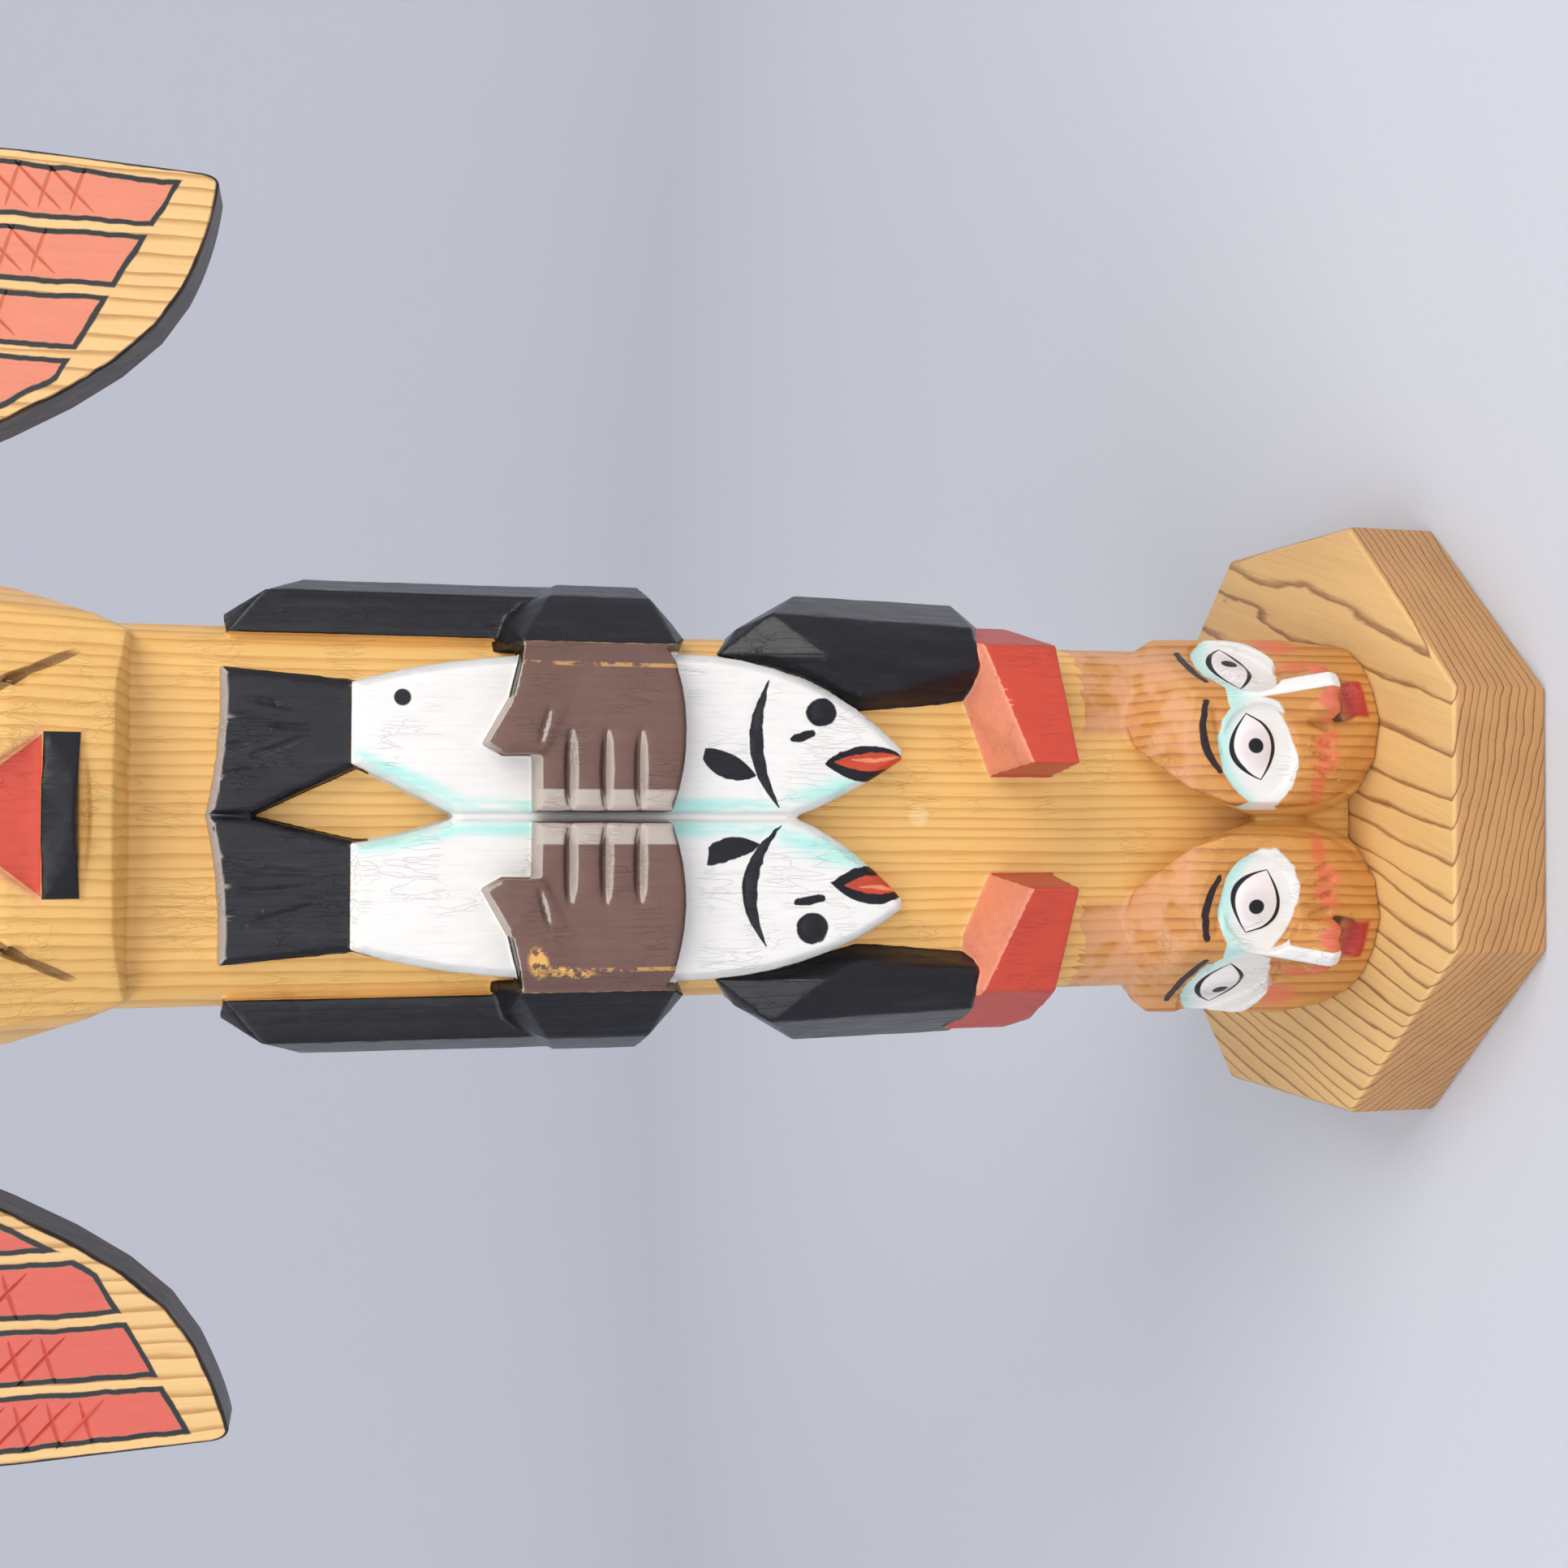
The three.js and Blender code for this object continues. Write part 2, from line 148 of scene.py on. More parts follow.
def settle(piece):
    """Puts the piece's place into its mesh."""
    select_only(piece)
    bpy.ops.object.transform_apply(location=True, rotation=True, scale=True)


def finish_modifier(piece, kind, **values):
    select_only(piece)
    modifier = piece.modifiers.new(kind.title(), kind)
    for key, value in values.items():
        setattr(modifier, key, value)
    bpy.ops.object.modifier_apply(modifier=modifier.name)


def copy_of_node(node, name):
    """The frame's solid as a piece of its own, with its loose triangles merged."""
    piece = bpy.data.objects.new(name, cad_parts[node].data.copy())
    bpy.context.scene.collection.objects.link(piece)
    piece.data.materials.clear()
    select_only(piece)
    bpy.ops.object.mode_set(mode="EDIT")
    bpy.ops.mesh.select_all(action="SELECT")
    bpy.ops.mesh.remove_doubles(threshold=0.002 * MM)
    bpy.ops.mesh.dissolve_limited(angle_limit=math.radians(0.2))
    bpy.ops.mesh.customdata_custom_splitnormals_clear()
    bpy.ops.object.mode_set(mode="OBJECT")
    return piece


def turned(along, out):
    """Axes whose Z runs along a cut and whose Y points out of the wood."""
    z = along.normalized()
    x = out.cross(z).normalized()
    return Matrix((x, z.cross(x), z)).transposed().to_4x4()


def gouge(start, end, width, depth, out=FRONT, sides=4):
    """A spindle that leaves a V-shaped cut, pointed at both ends; more sides leave a round one."""
    start, end = Vector(start), Vector(end)
    bpy.ops.mesh.primitive_uv_sphere_add(segments=sides, ring_count=6, radius=1)
    cutter = bpy.context.object
    size = Matrix.Diagonal((width / 2, depth, (end - start).length / 2, 1))
    place = Matrix.Translation((start + end) / 2)
    cutter.matrix_world = Matrix.Scale(MM, 4) @ place @ turned(end - start, out) @ size
    settle(cutter)
    return cutter


def pad(centre, half, out=FRONT, turn=0.0, up=Vector((0, 0, 1)), sides=28):
    """A flat-ended plug of oval section whose axis points out of the wood."""
    bpy.ops.mesh.primitive_cylinder_add(vertices=sides, radius=1, depth=2)
    return laid(bpy.context.object, centre, half, out, turn, up)


def swelling(centre, half, out=FRONT, turn=0.0, up=Vector((0, 0, 1)), sides=24):
    """A low oval dome, as an eyeball or the wing of a nostril."""
    bpy.ops.mesh.primitive_uv_sphere_add(segments=sides, ring_count=sides // 2, radius=1)
    return laid(bpy.context.object, centre, half, out, turn, up)


def laid(piece, centre, half, out, turn, up):
    """Half sizes run across, up and out."""
    z = out.normalized()
    x = up.cross(z).normalized()
    axes = Matrix((x, z.cross(x), z)).transposed().to_4x4()
    size = Matrix.Diagonal((*(h * MM for h in half), 1))
    piece.matrix_world = (
        Matrix.Translation(Vector(centre) * MM) @ axes @ Matrix.Rotation(turn, 4, "Z") @ size
    )
    settle(piece)
    return piece


def join(pieces, name):
    select_only(*pieces)
    if len(pieces) > 1:
        bpy.ops.object.join()
    whole = bpy.context.object
    whole.name = name
    return whole


def carve(piece, cutters):
    """Takes the cutters out of the piece, all in one cut."""
    tool = join(cutters, "cutters")
    finish_modifier(piece, "BOOLEAN", operation="DIFFERENCE", object=tool, solver="EXACT", use_self=True)
    bpy.data.objects.remove(tool)


def head_place(side, across, out, z):
    """A point in a small head's own axes, in the frame's."""
    cos, sin = math.cos(FACE_TURN), math.sin(FACE_TURN)
    return Vector((
        side * (HEAD_AXIS[0] + out * sin + across * cos),
        HEAD_AXIS[1] - out * cos + across * sin,
        z,
    ))


def head_way(side, across, out, z=0.0):
    """A direction in a small head's own axes, in the frame's."""
    return head_place(side, across, out, z) - head_place(side, 0, 0, 0)


def eye_plane(across):
    """How far out the plane of the eye lies."""
    return RIDGE - abs(across) * math.tan(EYE_PLANE)


# Carving of the pole: what is cut out of the solid and what is added


class Eye:
    """An eye of a small head: place, half width, lids and tilt, in the head's own axes."""

    def __init__(self, across, z, half, upper, lower, tilt, pupil):
        self.across, self.z, self.half = across, z, half
        self.upper, self.lower, self.tilt, self.pupil = upper, lower, math.radians(tilt), pupil


class Patch:
    """The white oval round an eye."""

    def __init__(self, across, z, half_width, half_height, tilt):
        self.across, self.z, self.tilt = across, z, math.radians(tilt)
        self.half = (half_width, half_height)


SMALL_HEADS = {
    -1: {
        "eyes": (
            Eye(-7.2, 45.3, 5.5, 4.9, 4.5, 20, (-6.7, 45.6)),
            Eye(14.4, 45, 7.4, 4.2, 3.8, -11, (16, 44.4)),
        ),
        "patches": (Patch(-7.2, 44.9, 9.3, 7.6, 24), Patch(13.6, 44.2, 12.6, 8.2, -13)),
        "brows": (((-1.4, 55.2), (-11.2, 53.4), 1.6), ((4.4, 53.4), (18.4, 55), 0.7)),
    },
    1: {
        "eyes": (
            Eye(-8.9, 45.9, 5.6, 4.5, 3.9, 12, (-9.2, 45.8)),
            Eye(9, 45.6, 7.6, 3.9, 3.2, -12, (9.7, 45.7)),
        ),
        "patches": (Patch(-10, 45.2, 9, 7.8, 18), Patch(8.6, 45, 10.6, 7.7, -14)),
        "brows": (((-2, 55.4), (-13.3, 53.2), 2.2), ((3, 54.2), (13.2, 54.7), 0.9)),
    },
}


def plane_way(side, across):
    """The way that the eye's plane faces."""
    lean = math.copysign(math.sin(EYE_PLANE), across)
    return head_way(side, lean, math.cos(EYE_PLANE))


def small_head_cuts(side, depth):
    cuts = []
    head = SMALL_HEADS[side]
    for patch in head["patches"]:
        out = plane_way(side, patch.across)
        centre = head_place(side, patch.across, eye_plane(patch.across), patch.z) + out * (3 - depth)
        cuts.append(pad(centre, (*patch.half, 3), out, -side * patch.tilt))
    for (start, end, bow) in head["brows"]:
        out = plane_way(side, end[0])
        cuts.append(gouge(
            head_place(side, start[0], eye_plane(start[0]) + 0.3, start[1] - UNDER_BROW + bow * 0.4),
            head_place(side, end[0], eye_plane(end[0]) + 0.3, end[1] - UNDER_BROW + bow * 0.2),
            2.4, 1.5, out,
        ))
        cuts.append(gouge(
            head_place(side, start[0], eye_plane(start[0]) - 0.2, start[1] + 2.6),
            head_place(side, end[0] * 0.8, eye_plane(end[0]) + 0.9, end[1] + 3.6),
            0.9, 0.7, out,
        ))
    for across in (-1.3, 1.1):
        cuts.append(gouge(
            head_place(side, across, RIDGE + 0.1, 51.5), head_place(side, across * 1.3, RIDGE - 1.6, 61.5),
            1.0, 0.9, head_way(side, 0, 1),
        ))
    for step in range(5):
        across = -4.6 - 2.5 * step
        cuts.append(gouge(
            head_place(side, across, eye_plane(across) + 0.3, 36.4 - 0.4 * step),
            head_place(side, across - 2.6, eye_plane(across - 2.6) - 0.2, 26.4 + 0.5 * step),
            1.6, 0.9, plane_way(side, across),
        ))
    for step in range(3):
        across = 8 + 3.4 * step
        cuts.append(gouge(
            head_place(side, across, eye_plane(across) + 0.2, 36),
            head_place(side, across + 2, eye_plane(across + 2), 27.5),
            1.6, 0.9, plane_way(side, across),
        ))
    return cuts


def small_head_swellings(side, depth):
    grown = []
    for eye in SMALL_HEADS[side]["eyes"]:
        out = plane_way(side, eye.across)
        centre = head_place(side, eye.across, eye_plane(eye.across), eye.z) - out * (depth + 0.25)
        half = (eye.half * 0.96, (eye.upper + eye.lower) / 2, 1.15)
        grown.append(swelling(centre, half, out, -side * eye.tilt))
    for across in SIDES:
        grown.append(swelling(
            head_place(side, across * 3.4, 17.2, 32), (1.9, 3.3, 2.4), head_way(side, across * 0.6, 0.8)
        ))
    return grown


def fish_cuts():
    """Mouth slits, the step behind the gills, and the ring of each eye."""
    front = -29.6
    cuts = []
    mouths = (((-11.6, 125), (-13.4, 111)), ((9.4, 126), (10.4, 111)))
    for start, end in mouths:
        cuts.append(gouge((start[0], front, start[1]), (end[0], front, end[1]), 3.0, 0.9))
    gills = (
        ((-22, 138), (-16, 141), (-9, 141), (-1.5, 136.5)),
        ((2, 136), (8, 140), (14, 140.6), (23.5, 137.4)),
    )
    for points in gills:
        for (x0, z0), (x1, z1) in zip(points, points[1:]):
            cuts.append(gouge((x0 - 0.5, front, z0), (x1 + 0.5, front, z1), 1.0, 0.5))
    for x, z, radius in ((-19.5, 128.8, 2.2), (18.5, 127.3, 2.0)):
        bpy.ops.mesh.primitive_torus_add(
            location=(x * MM, front * MM, z * MM), rotation=(math.radians(90), 0, 0),
            major_radius=radius * MM, minor_radius=0.35 * MM, major_segments=24, minor_segments=6,
        )
        ring = bpy.context.object
        settle(ring)
        cuts.append(ring)
    return cuts


def hand_cuts():
    cuts = []
    for side in SIDES:
        cuts.append(gouge((side * 11.4, -36, 177.6), (side * 20.5, -36, 175), 1.8, 1.6))
        for z in (172.2, 166.2, 160.4):
            cuts.append(gouge((side * 0.2, -35.1, z), (side * 15.5, -35.1, z), 2.5, 2.4))
    return cuts


def tail_cuts():
    """The rays of both tails."""
    rays = (
        ((-18.5, 226), (-14, 211)), ((-13, 226), (-11.5, 213)), ((-9, 225), (-9.5, 212)),
        ((9, 226), (13.5, 213)), ((15, 222), (14.5, 212)), ((19.5, 225), (17.4, 215)),
    )
    return [gouge((x0, -28.1, z0), (x1, -28.1, z1), 1.3, 0.9) for (x0, z0), (x1, z1) in rays]


def big_head_cuts():
    cuts = []
    for side in SIDES:
        cuts.append(gouge((side * 7.4, -39.8, 272.5), (side * 10.6, -38.6, 277), 3.2, 2.2, sides=8))
        cuts.append(gouge((side * 7, -40, 326), (side * 33, -28, 322), 1.6, 1.0))
        cuts.append(gouge((side * 13.5, -40.5, 283), (side * 30, -33.5, 290), 1.8, 1.1))
    return cuts


def big_head_swellings():
    return [
        swelling((side * 18.5, -35.2, 305.6), (10.5, 5.4, 2.6), Vector((side * 0.35, -1, 0)), -side * 0.12)
        for side in SIDES
    ]


def breast_cuts():
    """Rows of small curved feathers on the bird's breast."""
    cuts = []
    for row in range(4):
        z = 354 + 10.5 * row
        count = 3 + row % 2
        for place in range(-count, count + 1):
            x = place * 7.6 + (3.8 if row % 2 else 0)
            if abs(x) > 27:
                continue
            y = -33 + abs(x) * 0.1
            out = Vector((x * 0.008, -1, 0))
            cuts.append(gouge((x - 3.4, y - 0.9, z + 4.5), (x, y - 1.3, z), 1.2, 1.0, out))
            cuts.append(gouge((x + 3.4, y - 0.9, z + 4.5), (x, y - 1.3, z), 1.2, 1.0, out))
    return cuts


def bird_swellings():
    return [
        swelling((side * 19, -30.4, 438), (6.6, 4.6, 2.4), Vector((side * 0.42, -1, 0)), -side * 0.15)
        for side in SIDES
    ]


# Which faces of the solid carry which paint


def lies_on_shaft(corners):
    across = np.abs(corners[:, 0])
    y = corners[:, 1]
    near = 0.03
    if (np.abs(y - SHAFT_FRONT) < near).all() or (np.abs(y - BACK) < near).all():
        return True
    if (np.abs(across - SHAFT_HALF) < near).all():
        return True
    if (np.abs(across + y - (SHAFT_HALF + BACK - BACK_CHAMFER)) < near).all():
        return True
    rounded = (y > SHAFT_FRONT - near) & (y < CORNER_BACK + near)
    rounded &= (across > FLAT_HALF - near) & (across < SHAFT_HALF + near)
    return bool(rounded.all())


def paint_of(corners, normal):
    """The paint of one flat face: red, black, white, brown or none (bare wood)."""
    x, y, z = corners.mean(axis=0)
    side = 1 if x > 0 else -1
    across = abs(x)
    facing_out = normal[0] * side
    if lies_on_shaft(corners) or z < FEET or z > NECK - 0.5:
        return "bare"
    leg_underside = normal[2] < -0.25 and z > 87.5
    if z < 100 and y < 2.6 and across < 40.4 and not leg_underside:
        return "red"
    depths = corners[:, 1]
    touching = np.abs(depths - FISH_FRONT) < 0.05
    level_front = touching.any() and (depths > FISH_FRONT - 0.05).all() and (depths < -27.95).all()
    within = (np.abs(corners[:, 0]) < 28.6).all() and z > 111
    fish_wall = abs(normal[1]) < 0.05 and (depths > -28.05).all() and within
    if y < -29.75 and z > 147 and across < 31.3 and z < 187:
        return "brown"
    if across < 28.7 and (level_front or fish_wall):
        if z > 207.7 or (z > 205.9 and y > -28.02):
            return "black"
        return "white"
    if z > 205 and across < 25.5 and y < -24.01:
        return "black"
    if 146 < z < 187 and across < 31.1 and y < -28.5 and facing_out < 0.9:
        return "brown"
    return "black"


PAINTS = ("red", "black", "white", "brown")


def border_distances(piece, solid):
    """For each paint, how far inside its border (below zero) or outside it each vertex lies."""
    points = np.array([v.co for v in solid.vertices]) / MM
    faces = {paint: [] for paint in (*PAINTS, "bare")}
    for face in solid.polygons:
        corners = points[list(face.vertices)]
        faces[paint_of(corners, face.normal)].append(tuple(face.vertices))
    trees = {
        paint: BVHTree.FromPolygons([tuple(p) for p in points], polygons)
        for paint, polygons in faces.items() if polygons
    }
    co = np.empty(len(piece.data.vertices) * 3, dtype=np.float32)
    piece.data.vertices.foreach_get("co", co)
    co = co.reshape(-1, 3) / MM
    reach = 6.0
    away = {paint: np.full(len(co), reach, dtype=np.float32) for paint in trees}
    wanted = np.nonzero((co[:, 2] > FEET - reach) & (co[:, 2] < NECK + reach))[0]
    for paint, tree in trees.items():
        for i in wanted:
            found = tree.find_nearest(co[i], reach)[3]
            if found is not None:
                away[paint][i] = found
    for paint in PAINTS:
        others = np.min([away[other] for other in away if other != paint], axis=0)
        attribute = piece.data.attributes.new(f"{paint}_border", "FLOAT", "POINT")
        attribute.data.foreach_set("value", (away[paint] - others).astype(np.float32))


# Shader building


class Graph:
    """Short ways to add nodes and join them up."""

    def __init__(self, tree):
        self.tree = tree

    def feed(self, socket, value):
        if isinstance(value, bpy.types.NodeSocket):
            self.tree.links.new(value, socket)
        elif socket.type == "RGBA" and len(value) == 3:
            socket.default_value = (*value, 1)
        else:
            socket.default_value = value

    def node(self, kind, sockets=None, **values):
        made = self.tree.nodes.new(kind)
        for key, value in values.items():
            setattr(made, key, value)
        for key, value in (sockets or {}).items():
            self.feed(made.inputs[key], value)
        return made

    def math(self, operation, *values, clamp=False):
        return self.node(
            "ShaderNodeMath", dict(enumerate(values)), operation=operation, use_clamp=clamp
        ).outputs[0]

    def plus(self, *values, clamp=False):
        return self.math("ADD", *values, clamp=clamp)

    def minus(self, *values):
        return self.math("SUBTRACT", *values)

    def times(self, *values):
        return self.math("MULTIPLY", *values)

    def below(self, value, low, high):
        """One below the first limit and zero above the second."""
        return self.none_of(self.step(value, low, high))

    def size_of(self, value):
        return self.math("ABSOLUTE", value)

    def vector(self, operation, *values, result=0):
        made = self.node("ShaderNodeVectorMath", dict(enumerate(values)), operation=operation)
        return made.outputs[result]

    def mix(self, amount, low, high, blend="MIX"):
        made = self.node("ShaderNodeMix", data_type="RGBA", blend_type=blend)
        for index, value in ((0, amount), (6, low), (7, high)):
            self.feed(made.inputs[index], value)
        return made.outputs[2]

    def blend(self, amount, low, high):
        """A number between two others."""
        made = self.node("ShaderNodeMix", {0: amount, 2: low, 3: high}, data_type="FLOAT")
        return made.outputs[0]

    def step(self, value, low, high, smooth=True):
        """Zero below the first limit and one above the second."""
        kind = "SMOOTHSTEP" if smooth else "LINEAR"
        sockets = {"Value": value, "From Min": low, "From Max": high}
        return self.node("ShaderNodeMapRange", sockets, interpolation_type=kind).outputs[0]

    def noise(self, place, scale, detail=3.0, roughness=0.5, distortion=0.0):
        made = self.node(
            "ShaderNodeTexNoise",
            {"Vector": place, "Scale": scale, "Detail": detail, "Roughness": roughness,
             "Distortion": distortion},
        )
        return made.outputs["Fac"]

    def stretched(self, place, factors):
        sockets = {"Vector": place, "Scale": factors}
        return self.node("ShaderNodeMapping", sockets).outputs[0]

    def split(self, place):
        return self.node("ShaderNodeSeparateXYZ", {0: place}).outputs

    def together(self, x, y, z=0.0):
        return self.node("ShaderNodeCombineXYZ", {0: x, 1: y, 2: z}).outputs[0]

    def either(self, *masks):
        whole = masks[0]
        for mask in masks[1:]:
            whole = self.math("MAXIMUM", whole, mask)
        return whole

    def both(self, *masks):
        whole = masks[0]
        for mask in masks[1:]:
            whole = self.math("MULTIPLY", whole, mask)
        return whole

    def none_of(self, mask):
        return self.math("SUBTRACT", 1.0, mask)

    def band(self, value, low, high, soft):
        """One between two limits."""
        return self.both(
            self.step(value, low - soft, low + soft), self.below(value, high - soft, high + soft)
        )

    def group(self, name, **values):
        made = self.tree.nodes.new("ShaderNodeGroup")
        made.node_tree = bpy.data.node_groups[name]
        for key, value in values.items():
            self.feed(made.inputs[key.replace("_", " ")], value)
        return made.outputs

    def ellipse(self, place, centre, half, turn=0.0, edge=0.05):
        return self.group(
            "Oval", Point=place, Centre=(*centre, 0), Half_size=(*half, 1), Turn=turn, Edge=edge
        )[0]

    def stroke(self, place, start, end, width, belly=0.0, bow=0.0, edge=0.12):
        return self.group(
            "Brush stroke", Point=place, Start=(*start, 0), End=(*end, 0), Width=width, Belly=belly,
            Bow=bow, Edge=edge,
        )[0]


def new_group(name, inputs, outputs):
    """A shader group with its sockets; returns its graph, its inputs and its output node."""
    tree = bpy.data.node_groups.new(name, "ShaderNodeTree")
    kinds = {"v": "NodeSocketVector", "f": "NodeSocketFloat", "c": "NodeSocketColor"}
    for label, kind in inputs:
        tree.interface.new_socket(label, in_out="INPUT", socket_type=kinds[kind])
    for label, kind in outputs:
        tree.interface.new_socket(label, in_out="OUTPUT", socket_type=kinds[kind])
    entry = tree.nodes.new("NodeGroupInput")
    leave = tree.nodes.new("NodeGroupOutput")
    return Graph(tree), entry.outputs, leave


def oval_group():
    g, given, leave = new_group(
        "Oval",
        (("Point", "v"), ("Centre", "v"), ("Half size", "v"), ("Turn", "f"), ("Edge", "f")),
        (("Mask", "f"),),
    )
    moved = g.vector("SUBTRACT", given["Point"], given["Centre"])
    back = g.times(given["Turn"], -1.0)
    turned_back = g.node("ShaderNodeVectorRotate", {"Vector": moved, "Angle": back}, rotation_type="Z_AXIS")
    reach = g.vector("LENGTH", g.vector("DIVIDE", turned_back.outputs[0], given["Half size"]), result=1)
    low = g.minus(1.0, given["Edge"])
    high = g.plus(1.0, given["Edge"])
    g.feed(leave.inputs[0], g.below(reach, low, high))


def stroke_group():
    g, given, leave = new_group(
        "Brush stroke",
        (("Point", "v"), ("Start", "v"), ("End", "v"), ("Width", "f"), ("Belly", "f"), ("Bow", "f"),
         ("Edge", "f")),
        (("Mask", "f"),),
    )
    run = g.vector("SUBTRACT", given["End"], given["Start"])
    here = g.vector("SUBTRACT", given["Point"], given["Start"])
    share = g.math(
        "DIVIDE", g.vector("DOT_PRODUCT", here, run, result=1), g.vector("DOT_PRODUCT", run, run, result=1),
        clamp=True,
    )
    rise = g.times(g.times(share, g.minus(1.0, share)), 4.0)
    way = g.vector("NORMALIZE", run)
    sideways = g.vector("CROSS_PRODUCT", way, (0, 0, -1))
    lifted = g.node(
        "ShaderNodeVectorMath", {0: sideways, 3: g.times(rise, given["Bow"])}, operation="SCALE"
    ).outputs[0]
    along = g.node("ShaderNodeVectorMath", {0: run, 3: share}, operation="SCALE").outputs[0]
    away = g.vector("LENGTH", g.vector("SUBTRACT", here, g.vector("ADD", along, lifted)), result=1)
    half = g.plus(given["Width"], g.times(rise, given["Belly"]))
    outside = g.minus(away, half)
    edge = given["Edge"]
    g.feed(leave.inputs[0], g.below(outside, g.times(edge, -1.0), edge))


def grain_group():
    """Growth rings round an upright pith line, with fibres along it. Points are in millimetres."""
    g, given, leave = new_group(
        "Cedar grain",
        (("Point", "v"), ("Pitch", "f"), ("Warp", "f"), ("Line", "f"), ("Light", "c"), ("Dark", "c")),
        (("Color", "c"), ("Height", "f")),
    )
    place = given["Point"]
    slow = g.noise(g.stretched(place, (0.035, 0.035, 0.008)), 1.0, 2.0)
    quick = g.noise(g.stretched(place, (0.25, 0.25, 0.05)), 1.0, 3.0)
    sway = g.plus(g.minus(slow, 0.5), g.times(g.minus(quick, 0.5), 0.22))
    flat = g.vector("MULTIPLY", place, (1, 1, 0))
    radius = g.plus(g.vector("LENGTH", flat, result=1), g.times(sway, given["Warp"]))
    ring = g.math("DIVIDE", radius, given["Pitch"])
    uneven = g.noise(g.together(g.times(ring, 0.37), 0.0), 1.0, 1.0)
    turn = g.math("FRACT", g.plus(ring, g.times(uneven, 1.3)))
    rise = g.step(turn, g.minus(1.0, given["Line"]), 0.93)
    fall = g.below(turn, 0.93, 1.0)
    late = g.both(rise, fall)
    slope = g.times(turn, 0.16)
    fibre = g.noise(g.stretched(place, (2.6, 2.6, 0.06)), 1.0, 3.0, 0.65)
    broad = g.noise(g.stretched(place, (0.12, 0.12, 0.012)), 1.0, 2.0)
    dark = g.plus(g.times(late, 0.72), slope)
    dark = g.plus(dark, g.times(g.minus(fibre, 0.5), 0.42))
    dark = g.plus(dark, g.times(g.minus(broad, 0.5), 0.5), clamp=True)
    g.feed(leave.inputs[0], g.mix(dark, given["Light"], given["Dark"]))
    g.feed(leave.inputs[1], g.plus(g.times(fibre, 0.5), g.times(late, -0.6)))


def scratch_group():
    """Thin knife scratches and torn fibres in patches."""
    g, given, leave = new_group("Knife scratches", (("Point", "v"), ("Amount", "f")), (("Mask", "f"),))
    lines = []
    for angle, seed in ((0.5, 0), (-0.9, 31), (1.35, 67)):
        laid_over = g.node(
            "ShaderNodeMapping",
            {"Vector": given["Point"], "Location": (seed, seed, seed), "Rotation": (0.3, angle, 0.2),
             "Scale": (0.5, 0.5, 0.09)},
        ).outputs[0]
        field = g.noise(laid_over, 1.0, 1.0)
        thin = g.below(g.size_of(g.minus(field, 0.5)), 0.002, 0.009)
        lines.append(thin)
    patch = g.step(g.noise(given["Point"], 0.09, 2.0), 0.5, 0.62)
    g.feed(leave.inputs[0], g.both(g.either(*lines), patch, given["Amount"]))


def brush_group():
    """Brush-applied paint: colour that varies with the strokes, and its own low relief."""
    g, given, leave = new_group(
        "Brushed paint",
        (("Point", "v"), ("Below", "c"), ("Color", "c"), ("Mask", "f"), ("Depth", "f")),
        (("Color", "c"), ("Height", "f")),
    )
    strokes = g.noise(g.stretched(given["Point"], (0.9, 0.9, 0.16)), 1.0, 3.0, 0.6)
    cloud = g.noise(given["Point"], 0.12, 3.0)
    tone = g.plus(strokes, g.times(cloud, 0.7))
    shade = g.step(tone, 0.55, 1.2, smooth=False)
    darker = g.mix(given["Depth"], given["Color"], (0, 0, 0))
    painted = g.mix(shade, darker, given["Color"])
    g.feed(leave.inputs[0], g.mix(given["Mask"], given["Below"], painted))
    g.feed(leave.inputs[1], g.both(given["Mask"], g.plus(g.times(strokes, 0.35), 0.8)))


def border_group():
    """Turns the distance to a paint's border into a mask with a hand-painted edge."""
    g, given, leave = new_group(
        "Paint border", (("Distance", "f"), ("Point", "v"), ("Wobble", "f")), (("Mask", "f"),)
    )
    shake = g.minus(g.noise(given["Point"], 0.55, 3.0, 0.6), 0.5)
    moved = g.plus(given["Distance"], g.times(shake, given["Wobble"]))
    g.feed(leave.inputs[0], g.below(moved, -0.09, 0.09))


